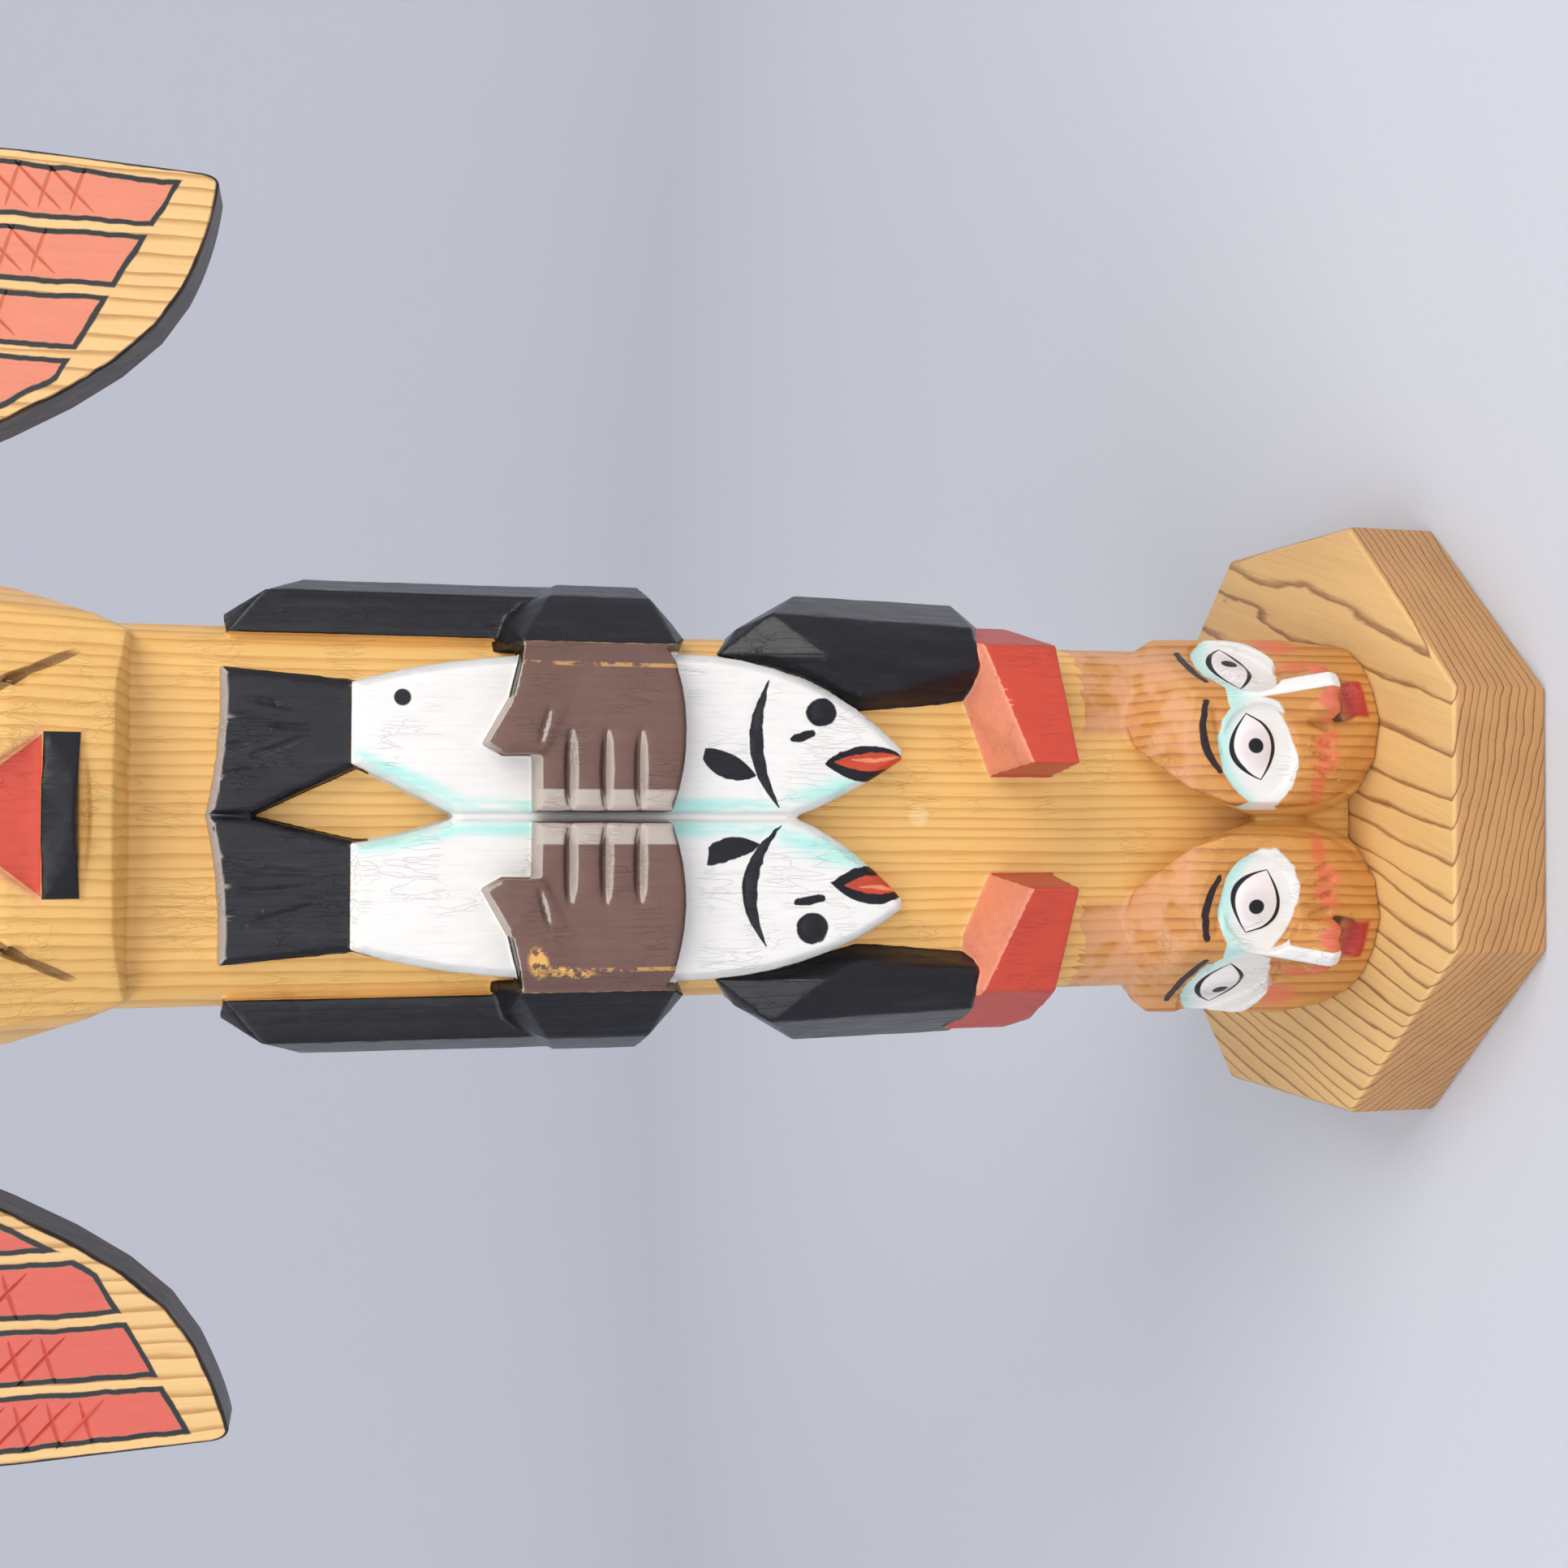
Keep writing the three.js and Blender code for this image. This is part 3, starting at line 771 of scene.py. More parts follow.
def eye_group():
    """A painted almond eye: black lids that thicken in the middle, off-white ball and a pupil."""
    g, given, leave = new_group(
        "Painted eye",
        (("Point", "v"), ("Centre", "v"), ("Turn", "f"), ("Half width", "f"), ("Upper", "f"),
         ("Lower", "f"), ("Pupil", "v"), ("Below", "c"), ("Ball", "c"), ("Lid", "c")),
        (("Color", "c"),),
    )
    shake = g.times(g.minus(g.noise(given["Point"], 0.5, 2.0), 0.5), 0.5)
    moved = g.vector("SUBTRACT", given["Point"], given["Centre"])
    back = g.times(given["Turn"], -1.0)
    place = g.split(
        g.node("ShaderNodeVectorRotate", {"Vector": moved, "Angle": back}, rotation_type="Z_AXIS").outputs[0]
    )
    share = g.math("DIVIDE", place[0], given["Half width"])
    curve = g.minus(1.0, g.times(share, share))
    over = g.minus(place[1], g.times(curve, given["Upper"]))
    under = g.minus(g.times(curve, g.times(given["Lower"], -1.0)), place[1])
    outside = g.plus(g.math("MAXIMUM", over, under), g.times(shake, 0.3))
    thick = g.plus(0.16, g.times(g.math("MAXIMUM", curve, 0.0), 0.34))
    lid = g.below(g.minus(g.size_of(outside), thick), -0.12, 0.12)
    inside = g.below(outside, -0.1, 0.1)
    iris, pupil = (
        g.group("Oval", Point=given["Point"], Centre=given["Pupil"], Half_size=half, Turn=0.0, Edge=edge)[0]
        for half, edge in (((2.9, 3.4, 1), 0.3), ((1.25, 1.55, 1), 0.1))
    )
    ball = g.mix(g.times(iris, 0.45), given["Ball"], srgb("#c9bdbb"))
    below = g.mix(inside, given["Below"], ball)
    dark = g.either(lid, g.both(pupil, inside))
    g.feed(leave.inputs[0], g.mix(dark, below, given["Lid"]))


GROUPS = (oval_group, stroke_group, grain_group, scratch_group, brush_group, border_group, eye_group)


def new_material(name, paint, coat=0.0, specular=0.5):
    """paint(graph, point) gives the colour, the roughness and the height in millimetres."""
    material = bpy.data.materials.new(name)
    material.use_nodes = True
    tree = material.node_tree
    tree.nodes.clear()
    g = Graph(tree)
    object_place = g.node("ShaderNodeTexCoord").outputs["Object"]
    point = g.vector("MULTIPLY", object_place, (1 / MM, 1 / MM, 1 / MM))
    hue, rough, height = paint(g, point)
    bump = g.node("ShaderNodeBump", {"Height": height, "Distance": MM, "Strength": 1.0})
    shader = g.node(
        "ShaderNodeBsdfPrincipled",
        {"Base Color": hue, "Roughness": rough, "Normal": bump.outputs[0], "Coat Weight": coat,
         "Coat Roughness": 0.22, "Specular IOR Level": specular},
    )
    output = g.node("ShaderNodeOutputMaterial")
    tree.links.new(shader.outputs[0], output.inputs[0])
    return material


def post_wood(g, point, light, dark, amount=1.0):
    """Varnished wood of the carved post. Its pith lies well to the left, so the front is quarter-sawn."""
    c = settings()[1]
    shifted = g.vector("ADD", point, (170, 40, 0))
    wood = g.group("Cedar grain", Point=shifted, Pitch=2.1, Warp=4.0, Line=0.55, Light=light, Dark=dark)
    scratch = g.group("Knife scratches", Point=point, Amount=amount)["Mask"]
    hue = g.mix(g.times(scratch, 0.4), wood["Color"], c.cedar_light)
    height = g.times(wood["Height"], 0.05)
    height = g.plus(height, g.times(scratch, 0.08))
    lumps = g.noise(g.stretched(point, (0.5, 0.5, 0.22)), 1.0, 3.0)
    return hue, g.plus(height, g.times(lumps, 0.18))


def add_paint(g, point, below, height, mask, tint, depth=0.25, thick=0.07):
    """Brushes a paint over what is there."""
    painted = g.group("Brushed paint", Point=point, Below=below, Color=tint, Mask=mask, Depth=depth)
    return painted["Color"], g.plus(height, g.times(painted["Height"], thick))


def border_mask(g, point, paint, wobble=0.35):
    distance = g.node("ShaderNodeAttribute", attribute_name=f"{paint}_border").outputs["Fac"]
    return g.group("Paint border", Distance=distance, Point=point, Wobble=wobble)["Mask"]


def facing(g, way):
    """How far the surface faces a given way, from -1 to 1."""
    normal = g.node("ShaderNodeTexCoord").outputs["Normal"]
    return g.vector("DOT_PRODUCT", normal, Vector(way).normalized(), result=1)


# Paint of each part of the pole


def small_head_paint(side):
    head = SMALL_HEADS[side]

    def paint(g, point):
        c = settings()[1]
        spin = Matrix.Rotation(-FACE_TURN, 3, "Z")
        origin = spin @ Vector((-HEAD_AXIS[0], -HEAD_AXIS[1], 0))
        local = g.node(
            "ShaderNodeMapping",
            {"Vector": point, "Scale": (side, 1, 1), "Rotation": (0, 0, -FACE_TURN), "Location": origin},
        ).outputs[0]
        axes = g.split(local)
        across, out, up = axes[0], g.times(axes[1], -1.0), axes[2]
        flat = g.together(across, up)
        on_face = g.step(out, 3.0, 5.0)
        light = g.mix(on_face, c.cedar_light, c.head_wood)
        dark = g.mix(on_face, c.cedar_dark, srgb("#a8682f"))
        hue, height = post_wood(g, point, light, dark)

        forehead = g.both(g.step(up, 55.5, 60.5), on_face, g.step(g.noise(point, 0.16, 2.0), 0.38, 0.55))
        hue = g.mix(g.times(forehead, 0.55), hue, c.stain)

        cheeks = []
        for place, half, turn in (
            ((-8.4, 31.4), (1.6, 2.8), 0.5), ((-11.8, 31.2), (1.6, 2.8), 0.5),
            ((-15.6, 33), (2.0, 1.6), 0.3), ((16, 33.5), (3.4, 4.4), 0.4), ((7.6, 33), (1.4, 4.4), 0.1),
        ):
            cheeks.append(g.ellipse(flat, place, half, turn, edge=0.5))
        blush = g.both(g.either(*cheeks), on_face)
        hue = g.mix(g.times(blush, 0.75), hue, srgb("#d5674a"))

        nostrils = [g.ellipse(flat, (s * 3.4, 31), (2.1, 3.2), 0.0, edge=0.12) for s in SIDES]
        nostril = g.both(g.either(*nostrils), g.step(out, 14.5, 15.5))
        hue, height = add_paint(g, point, hue, height, nostril, srgb("#dc7457"), 0.2, 0.03)
        lips = g.both(
            g.band(up, 21.6, 26.6, 0.5), g.band(across, -3.9, 3.9, 0.5), g.step(out, 13.0, 14.5)
        )
        hue, height = add_paint(g, point, hue, height, lips, srgb("#b8392b"), 0.3, 0.03)
        # Painted shade: a dark band at the top of the mouth recess, under the nose
        shade_under_nose = g.both(g.band(up, 26.6, 29.9, 0.4), g.band(across, -4.8, 4.8, 0.4), g.step(out, 9.0, 10.5))
        hue = g.mix(g.times(shade_under_nose, 0.8), hue, srgb("#3d1512"))

        shake = g.minus(g.noise(point, 0.3, 3.0), 0.5)
        wobbly = g.vector("ADD", flat, g.together(g.times(shake, 1.6), g.times(shake, 1.2)))
        ovals = [g.ellipse(wobbly, (p.across, p.z), p.half, p.tilt, edge=0.025) for p in head["patches"]]
        bridge = g.ellipse(flat, (0, 48.6), (4.4, 2.6), 0.0, edge=0.06)
        ridge = g.both(
            g.band(across, -1.55, 1.55, 0.12), g.band(up, 30.0, 49.0, 0.4), g.step(out, 16.6, 17.2)
        )
        patches = g.both(g.either(*ovals, bridge), g.step(out, 3.0, 4.0), g.below(up, 53.6, 54.2))
        nose_sides = g.both(g.step(out, 17.25, 17.6), g.below(up, 46, 47), g.none_of(ridge))
        white = g.either(g.both(patches, g.none_of(nose_sides)), ridge)
        hue, height = add_paint(g, point, hue, height, white, c.white, 0.06, 0.1)
        tops = [
            g.ellipse(flat, (p.across, p.z - 2.6), (p.half[0] * 1.02, p.half[1] * 1.02), p.tilt, edge=0.2)
            for p in head["patches"]
        ]
        wash = g.both(patches, g.none_of(g.either(*tops)), g.step(up, 44, 48))
        hue = g.mix(g.times(wash, 0.6), hue, c.aqua)

        for eye in head["eyes"]:
            made = g.group(
                "Painted eye", Point=flat, Centre=(eye.across, eye.z, 0), Turn=eye.tilt,
                Half_width=eye.half, Upper=eye.upper, Lower=eye.lower, Pupil=(*eye.pupil, 0),
                Below=hue, Ball=srgb("#e6ddd8"), Lid=c.black,
            )
            hue = g.mix(on_face, hue, made["Color"])
        for start, end, bow in head["brows"]:
            lift = bow if end[0] > start[0] else -bow
            brow = g.both(g.stroke(wobbly, start, end, 0.62, 0.25, lift), on_face)
            hue, height = add_paint(g, point, hue, height, brow, srgb("#2b1c1e"), 0.2, 0.05)
        rough = g.blend(white, 0.42, 0.5)
        return hue, rough, height

    return paint


def side_point(g, point):
    """Across from the middle, and up."""
    axes = g.split(point)
    return axes, g.together(axes[0], axes[2])


def lower_paint(g, point):
    """Feet and legs, and the heads of the two fish."""
    c = settings()[1]
    hue, height = post_wood(g, point, c.cedar_light, c.cedar_dark)
    flat = side_point(g, point)[1]
    spot = g.ellipse(flat, (0.2, 107.4), (1.7, 1.8), 0.0, edge=0.3)
    hue = g.mix(g.times(spot, 0.5), hue, srgb("#ecd09a"))

    red = border_mask(g, point, "red")
    # Painted light and shade: the feet's upward facets are painted lighter coral and their sideways facets
    # darker red, as the lamps fall on them
    lit_top = g.both(red, g.step(facing(g, (0, -0.35, 1)), 0.45, 0.6))
    tint = g.mix(lit_top, c.red, c.painted_highlight_red)
    shaded_side = g.step(g.size_of(facing(g, (1, 0, 0))), 0.55, 0.8)
    tint = g.mix(g.both(shaded_side, g.none_of(lit_top)), tint, srgb("#b5493c"))
    hue, height = add_paint(g, point, hue, height, red, tint, 0.14)

    hue, height, rough = dark_and_pale(g, point, hue, height)
    shake = g.minus(g.noise(point, 0.6, 3.0), 0.5)
    wobbly = g.vector("ADD", flat, g.together(g.times(shake, 0.7), g.times(shake, 0.7)))
    on_fish = border_mask(g, point, "white")
    marks = [
        g.stroke(wobbly, (-22.4, 137.2), (-1.5, 134.6), 0.15, 1.25, 4.2),
        g.stroke(wobbly, (1.7, 134.9), (23.8, 136.8), 0.15, 1.1, 3.2),
        g.stroke(wobbly, (-8.2, 149.5), (-4.8, 138.6), 0.3, 1.75, 0.9),
        g.stroke(wobbly, (11.6, 149.2), (7.2, 139.4), 0.4, 1.8, -0.4),
        g.ellipse(wobbly, (-19.5, 128.8), (2.8, 2.9), 0.0, edge=0.06),
        g.ellipse(wobbly, (18.5, 127.3), (2.55, 2.75), 0.0, edge=0.06),
        g.stroke(wobbly, (-14.9, 131.6), (-14.2, 127.1), 0.6, 0.2, 0.0),
        g.stroke(wobbly, (13.8, 132.4), (14.8, 129), 0.6, 0.2, 0.0),
        g.stroke(wobbly, (-11.5, 125.3), (-13.2, 111), 0.2, 3.1, 0.3),
        g.stroke(wobbly, (9.5, 126.5), (10.2, 111), 0.2, 3.0, -0.3),
    ]
    ink = g.both(g.either(*marks), on_fish)
    hue, height = add_paint(g, point, hue, height, ink, c.black, 0.2, 0.05)
    tongues = g.either(
        g.stroke(wobbly, (-11.9, 122.8), (-12.4, 111), 0.15, 1.5, 0.2),
        g.stroke(wobbly, (9.8, 124.6), (10.3, 111), 0.15, 1.5, -0.2),
    )
    hue, height = add_paint(g, point, hue, height, g.both(tongues, on_fish), srgb("#c8472c"), 0.2, 0.03)
    glints = g.either(
        g.stroke(wobbly, (-12.3, 120), (-13.3, 112.5), 0.12, 0.25, 0.4),
        g.stroke(wobbly, (10.3, 121.5), (10.9, 112.5), 0.12, 0.25, -0.4),
    )
    hue = g.mix(g.times(g.both(glints, on_fish), 0.7), hue, srgb("#e9986a"))
    return hue, g.blend(ink, rough, 0.3), height


def dark_and_pale(g, point, hue, height):
    """Black limbs and tails and the white fish, which run through two parts of the pole."""
    c = settings()[1]
    axes, flat = side_point(g, point)
    black = border_mask(g, point, "black")
    hue, height = add_paint(g, point, hue, height, black, c.black, 0.35)
    specks = g.both(black, g.step(g.noise(point, 0.35, 4.0, 0.7), 0.71, 0.735))
    hue = g.mix(g.times(specks, 0.55), hue, srgb("#6d5a4c"))
    haze = g.both(black, g.step(g.noise(g.stretched(point, (0.3, 0.3, 0.05)), 1.0, 3.0), 0.5, 0.8))
    hue = g.mix(g.times(haze, 0.07), hue, srgb("#6a6a78"))

    white = border_mask(g, point, "white")
    # Painted shade: the white is greyer on faces that turn sideways, away from the front lamps
    edge = g.both(white, g.step(g.size_of(facing(g, (1, 0, 0))), 0.45, 0.8))
    tint = g.mix(edge, c.white, srgb("#c9c8c2"))
    hue, height = add_paint(g, point, hue, height, white, tint, 0.07)
    inner = g.size_of(axes[0])
    streaks = g.noise(g.stretched(point, (0.9, 0.9, 0.12)), 1.0, 3.0)
    left_band = g.stroke(flat, (-2.1, 134), (-2.1, 192), 0.7, 0.8, 0.0, edge=1.1)
    right_band = g.stroke(flat, (1.9, 134), (1.9, 192), 0.7, 0.8, 0.0, edge=1.1)
    left_upper = g.stroke(flat, (-2.2, 190), (-5.6, 206), 0.7, 0.4, 0.0, edge=1.0)
    right_upper = g.stroke(flat, (2.4, 190), (10, 206), 0.9, 0.4, 0.0, edge=1.2)
    cheeks = g.either(
        g.stroke(flat, (-3.4, 134), (-8, 119), 1.2, 0.8, 0.0, edge=1.8),
        g.stroke(flat, (3.0, 133), (7, 118), 0.9, 0.6, 0.0, edge=1.5),
    )
    bands = g.either(left_band, right_band, left_upper, right_upper, cheeks)
    wash = g.both(bands, white, g.step(streaks, 0.25, 0.6), g.step(inner, 0.35, 0.9))
    hue = g.mix(g.times(wash, 0.75), hue, c.aqua)
    rough = g.blend(black, 0.45, 0.33)
    return hue, height, g.blend(white, rough, 0.48)


def middle_paint(g, point):
    """Hands, arms, the bodies and tails of the fish, and the neck."""
    c = settings()[1]
    hue, height = post_wood(g, point, c.cedar_light, c.cedar_dark)
    hue, height, rough = dark_and_pale(g, point, hue, height)
    axes, flat = side_point(g, point)
    inner = g.size_of(axes[0])
    black = border_mask(g, point, "black")
    upper = g.step(facing(g, (0, -0.3, 1)), 0.35, 0.6)
    tail_top = g.both(upper, black, g.step(axes[2], 222, 226), g.below(inner, 26, 27))
    hue = g.mix(g.times(tail_top, 0.75), hue, c.chalk)
    dot = g.both(g.ellipse(flat, (19.8, 199.5), (1.4, 1.4), 0.0, edge=0.1), border_mask(g, point, "white"))
    hue, height = add_paint(g, point, hue, height, dot, c.black, 0.2, 0.08)

    brown = border_mask(g, point, "brown", 0.3)
    hue, height = add_paint(g, point, hue, height, brown, c.brown, 0.16)
    tips = g.both(
        brown, g.band(inner, 0.4, 4.6, 0.2), g.band(axes[2], 153.5, 179.5, 0.5),
        g.below(axes[1], -34.2, -33.8),
    )
    hue = g.mix(g.times(tips, 0.9), hue, srgb("#b4a79c"))
    # Chalky pale on the brown's upward faces: partly rubbed paint, partly painted light from above; the dark
    # down-facing walls below are painted shade
    chalk_and_highlight = g.both(brown, g.step(facing(g, (0, -0.25, 1)), 0.42, 0.62))
    hue = g.mix(g.times(chalk_and_highlight, 0.8), hue, c.chalk)
    shade = g.both(brown, g.step(facing(g, (0, 0.1, -1)), 0.45, 0.65))
    hue = g.mix(g.times(shade, 0.75), hue, srgb("#2e1d18"))
    worn_line = g.both(brown, g.band(inner, 25.3, 26.0, 0.12), g.step(g.noise(point, 0.5, 3.0), 0.45, 0.55))
    chips = g.both(
        brown,
        g.either(
            g.ellipse(flat, (-24.4, 177.4), (2.6, 1.6), 0.2, edge=0.3),
            g.ellipse(flat, (-26.0, 172.4), (0.9, 4.6), -0.1, edge=0.3),
        ),
        g.step(g.noise(point, 0.8, 3.0, 0.65), 0.46, 0.5),
    )
    bare = g.either(g.times(worn_line, 0.6), chips)
    hue = g.mix(bare, hue, srgb("#d8a35a"))
    height = g.minus(height, g.times(chips, 0.12))
    return hue, g.blend(brown, rough, 0.4), height


def big_head_paint(g, point):
    c = settings()[1]
    hue, height = post_wood(g, point, c.cedar_light, c.cedar_dark)
    axes = g.split(point)
    inner = g.size_of(axes[0])
    mirrored = g.together(inner, axes[2])
    front = g.below(axes[1], -32, -31)
    lip = g.both(g.band(axes[2], 248.7, 254.05, 0.12), g.below(inner, 12.9, 13.15), front)
    hue, height = add_paint(g, point, hue, height, lip, c.black, 0.3)
    border = g.minus(inner, g.times(g.minus(269.0, axes[2]), 0.83))
    over_lip = g.both(g.step(axes[2], 254.05, 254.3), g.below(axes[2], 266.5, 267), front)
    pink = g.both(g.below(border, 1.4, 2.4), over_lip)
    hue = g.mix(g.times(pink, 0.6), hue, srgb("#dd9a72"))
    red_lip = g.both(g.below(border, 0.2, 0.5), over_lip)
    hue, height = add_paint(g, point, hue, height, red_lip, srgb("#cb4a36"), 0.16)
    # Painted shade: brown lines along the cheek folds, standing for the shade in their grooves
    groove_shade = g.both(
        g.either(
            g.stroke(mirrored, (26.2, 249.6), (22.4, 256.8), 0.5, 0.3),
            g.stroke(mirrored, (22.4, 256.8), (13, 272), 0.7, 0.6),
        ),
        front,
    )
    hue = g.mix(g.times(groove_shade, 0.75), hue, srgb("#5f3a1d"))
    side_stripe = g.both(
        g.step(axes[2], 255, 257), g.below(axes[2], 300, 301), g.band(axes[1], -14, -5, 0.3)
    )
    hue, height = add_paint(g, point, hue, height, side_stripe, srgb("#cb5a3c"), 0.2)
    patch = g.both(g.ellipse(mirrored, (18.5, 306), (14.5, 7.6), -0.1, edge=0.02), front_of(g, axes, -25))
    hue, height = add_paint(g, point, hue, height, patch, c.white, 0.07)
    rim = g.both(patch, g.step(axes[2], 308, 313))
    hue = g.mix(g.times(rim, 0.6), hue, c.aqua)
    eye = g.group(
        "Painted eye", Point=mirrored, Centre=(18.5, 305.6, 0), Turn=-0.12, Half_width=9.6, Upper=4.8,
        Lower=4.2, Pupil=(18.3, 305.8, 0), Below=hue, Ball=srgb("#e6ddd8"), Lid=c.black,
    )
    hue = g.mix(front_of(g, axes, -25), hue, eye["Color"])
    brow = g.both(g.stroke(mirrored, (5, 317), (34, 316), 1.6, 1.2, 3.2), front_of(g, axes, -25))
    hue, height = add_paint(g, point, hue, height, brow, c.black, 0.25)
    nostrils = g.both(g.ellipse(mirrored, (9.2, 275.4), (3.6, 3.0), 0.4, edge=0.08), front_of(g, axes, -34))
    hue, height = add_paint(g, point, hue, height, nostrils, srgb("#c84a36"), 0.2)
    claws = g.both(g.step(axes[2], 327.5, 328.2), g.below(axes[1], -30.5, -29.5))
    hue, height = add_paint(g, point, hue, height, claws, c.black, 0.25)
    return hue, g.blend(g.either(lip, patch), 0.42, 0.4), height


def front_of(g, axes, depth):
    """One on what stands further forward than a depth."""
    return g.below(axes[1], depth - 0.4, depth + 0.4)


def bird_paint(g, point):
    c = settings()[1]
    hue, height = post_wood(g, point, c.cedar_light, c.cedar_dark)
    axes = g.split(point)
    inner = g.size_of(axes[0])
    mirrored = g.together(inner, axes[2])
    forward = front_of(g, axes, -16)
    breast = g.both(g.ellipse(mirrored, (0, 370), (28, 23), 0.0, edge=0.015), forward)
    hue, height = add_paint(g, point, hue, height, breast, srgb("#c9503a"), 0.18)
    bib = g.both(g.ellipse(mirrored, (0, 370), (28.9, 23.9), 0.0, edge=0.012), forward, g.none_of(breast))
    hue, height = add_paint(g, point, hue, height, bib, c.black, 0.2)
    claws = g.both(g.below(axes[2], 346.5, 347), g.below(axes[1], -30.8, -30), g.none_of(breast))
    hue, height = add_paint(g, point, hue, height, claws, c.black, 0.25)
    patch = g.both(g.ellipse(mirrored, (19, 438.5), (10, 6.8), 0.1, edge=0.03), front_of(g, axes, -19))
    hue, height = add_paint(g, point, hue, height, patch, c.white, 0.07)
    eye = g.group(
        "Painted eye", Point=mirrored, Centre=(19, 438, 0), Turn=-0.15, Half_width=6.2, Upper=3.9,
        Lower=3.6, Pupil=(18.6, 438.2, 0), Below=hue, Ball=srgb("#e6ddd8"), Lid=c.black,
    )
    hue = g.mix(front_of(g, axes, -19), hue, eye["Color"])
    brow = g.both(g.stroke(mirrored, (4, 450.5), (28, 449), 1.2, 0.9, 3.4), front_of(g, axes, -18))
    hue, height = add_paint(g, point, hue, height, brow, c.black, 0.25)
    beak = g.both(g.band(axes[2], 419.5, 449.5, 0.3), front_of(g, axes, -36.4), g.below(inner, 9.4, 9.6))
    hue, height = add_paint(g, point, hue, height, beak, c.black, 0.25)
    under = g.both(g.band(axes[2], 409, 419.5, 0.3), front_of(g, axes, -29.4), g.below(inner, 9, 9.2))
    hue, height = add_paint(g, point, hue, height, under, srgb("#c9503a"), 0.2)
    crown = g.both(g.step(axes[2], 463.5, 464.2), g.below(axes[1], 10, 12))
    hue, height = add_paint(g, point, hue, height, crown, c.black, 0.25)
    return hue, 0.4, height


# Operators


class TOTEM_OT_pole(bpy.types.Operator):
    """Carve and paint the pole: heads, feet, legs, fish, hands, mask and thunderbird"""

    bl_idname = "totem.pole"
    bl_label = "Pole"

    def execute(self, context):
        sizes = settings()[0]
        pole = copy_of_node("pole", "carved_pole")
        solid = pole.data.copy()
        depth = sizes.patch_depth / MM
        cuts = [cut for side in SIDES for cut in small_head_cuts(side, depth)]
        carve(pole, [*cuts, *fish_cuts(), *tail_cuts(), *hand_cuts(), *big_head_cuts(), *breast_cuts()])
        grown = [swell for side in SIDES for swell in small_head_swellings(side, depth)]
        pole = join([pole, *grown, *big_head_swellings(), *bird_swellings()], "carved_pole")
        voxel = sizes.softness * 1
        finish_modifier(pole, "REMESH", mode="VOXEL", voxel_size=voxel)
        for scale, part in ((9, 1.0), (3.2, 0.35)):
            hollows = bpy.data.textures.new("hollows", "CLOUDS")
            hollows.noise_scale = scale * MM
            finish_modifier(pole, "DISPLACE", texture=hollows, strength=sizes.chatter * part, mid_level=0.5)
        triangles = sum(len(face.vertices) - 2 for face in pole.data.polygons)
        share = min(1.0, sizes.detail / triangles)
        finish_modifier(pole, "DECIMATE", ratio=share, use_collapse_triangulate=True)
        border_distances(pole, solid)
        bpy.data.meshes.remove(solid)
        select_only(pole)
        bpy.ops.object.shade_smooth()
        paints = (
            ("Left small head", small_head_paint(-1)), ("Right small head", small_head_paint(1)),
            ("Feet, legs and fish heads", lower_paint), ("Hands and fish", middle_paint),
            ("Big mask", big_head_paint), ("Thunderbird", bird_paint),
        )
        for name, paint in paints:
            pole.data.materials.append(new_material(name, paint, coat=0.12, specular=0.32))
        centres = np.empty(len(pole.data.polygons) * 3, dtype=np.float32)
        pole.data.polygons.foreach_get("center", centres)
        centres = centres.reshape(-1, 3) / MM
        z = centres[:, 2]
        bands = np.select([z < FEET, z < HANDS, z < NECK, z <= HEAD_TOP], [1, 2, 3, 4], 5)
        bands[(z < FEET) & (centres[:, 0] < 0)] = 0
        pole.data.polygons.foreach_set("material_index", bands.astype(np.int32))
        pole.data.update()
        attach(pole, "root")
        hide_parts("pole")
        return {"FINISHED"}


FEATHER_PITCH = 11.1
FEATHER_EDGE = {-1: 110.0, 1: 114.0}  # outer edge of each wing, from the pole's middle
WING_DROP = {-1: 0.0, 1: 3.4}  # how much higher the right wing's lower end lies
FEATHER_RISE = 0.56  # how the feathers' lower ends climb towards the pole
FEATHER_LOW = 231.6


def hatching(side, sizes):
    """Two sets of shallow parallel cuts across the feathers, on the front of one wing."""
    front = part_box(f"wing_{'left' if side < 0 else 'right'}")[0].y / MM
    width, depth = sizes.hatch_width / MM, sizes.hatch_depth / MM
    outer = FEATHER_EDGE[side]
    steep, shallow = [], []
    for feather in range(5):
        x_out = outer - 2.0 - feather * FEATHER_PITCH
        x_in = x_out - 8.2
        low = FEATHER_LOW + WING_DROP[side] + 15 + FEATHER_RISE * (outer - x_out)
        for step in range(18):
            z = low + step * 5.2
            if z + 9 > 326:
                break
            steep.append(gouge((side * x_out, front, z + 8), (side * x_in, front, z), width, depth))
            low_end, high_end = (side * x_out, front, z + 1.5), (side * x_in, front, z + 4)
            shallow.append(gouge(low_end, high_end, width * 1.3, depth * 0.7))
    return steep, shallow


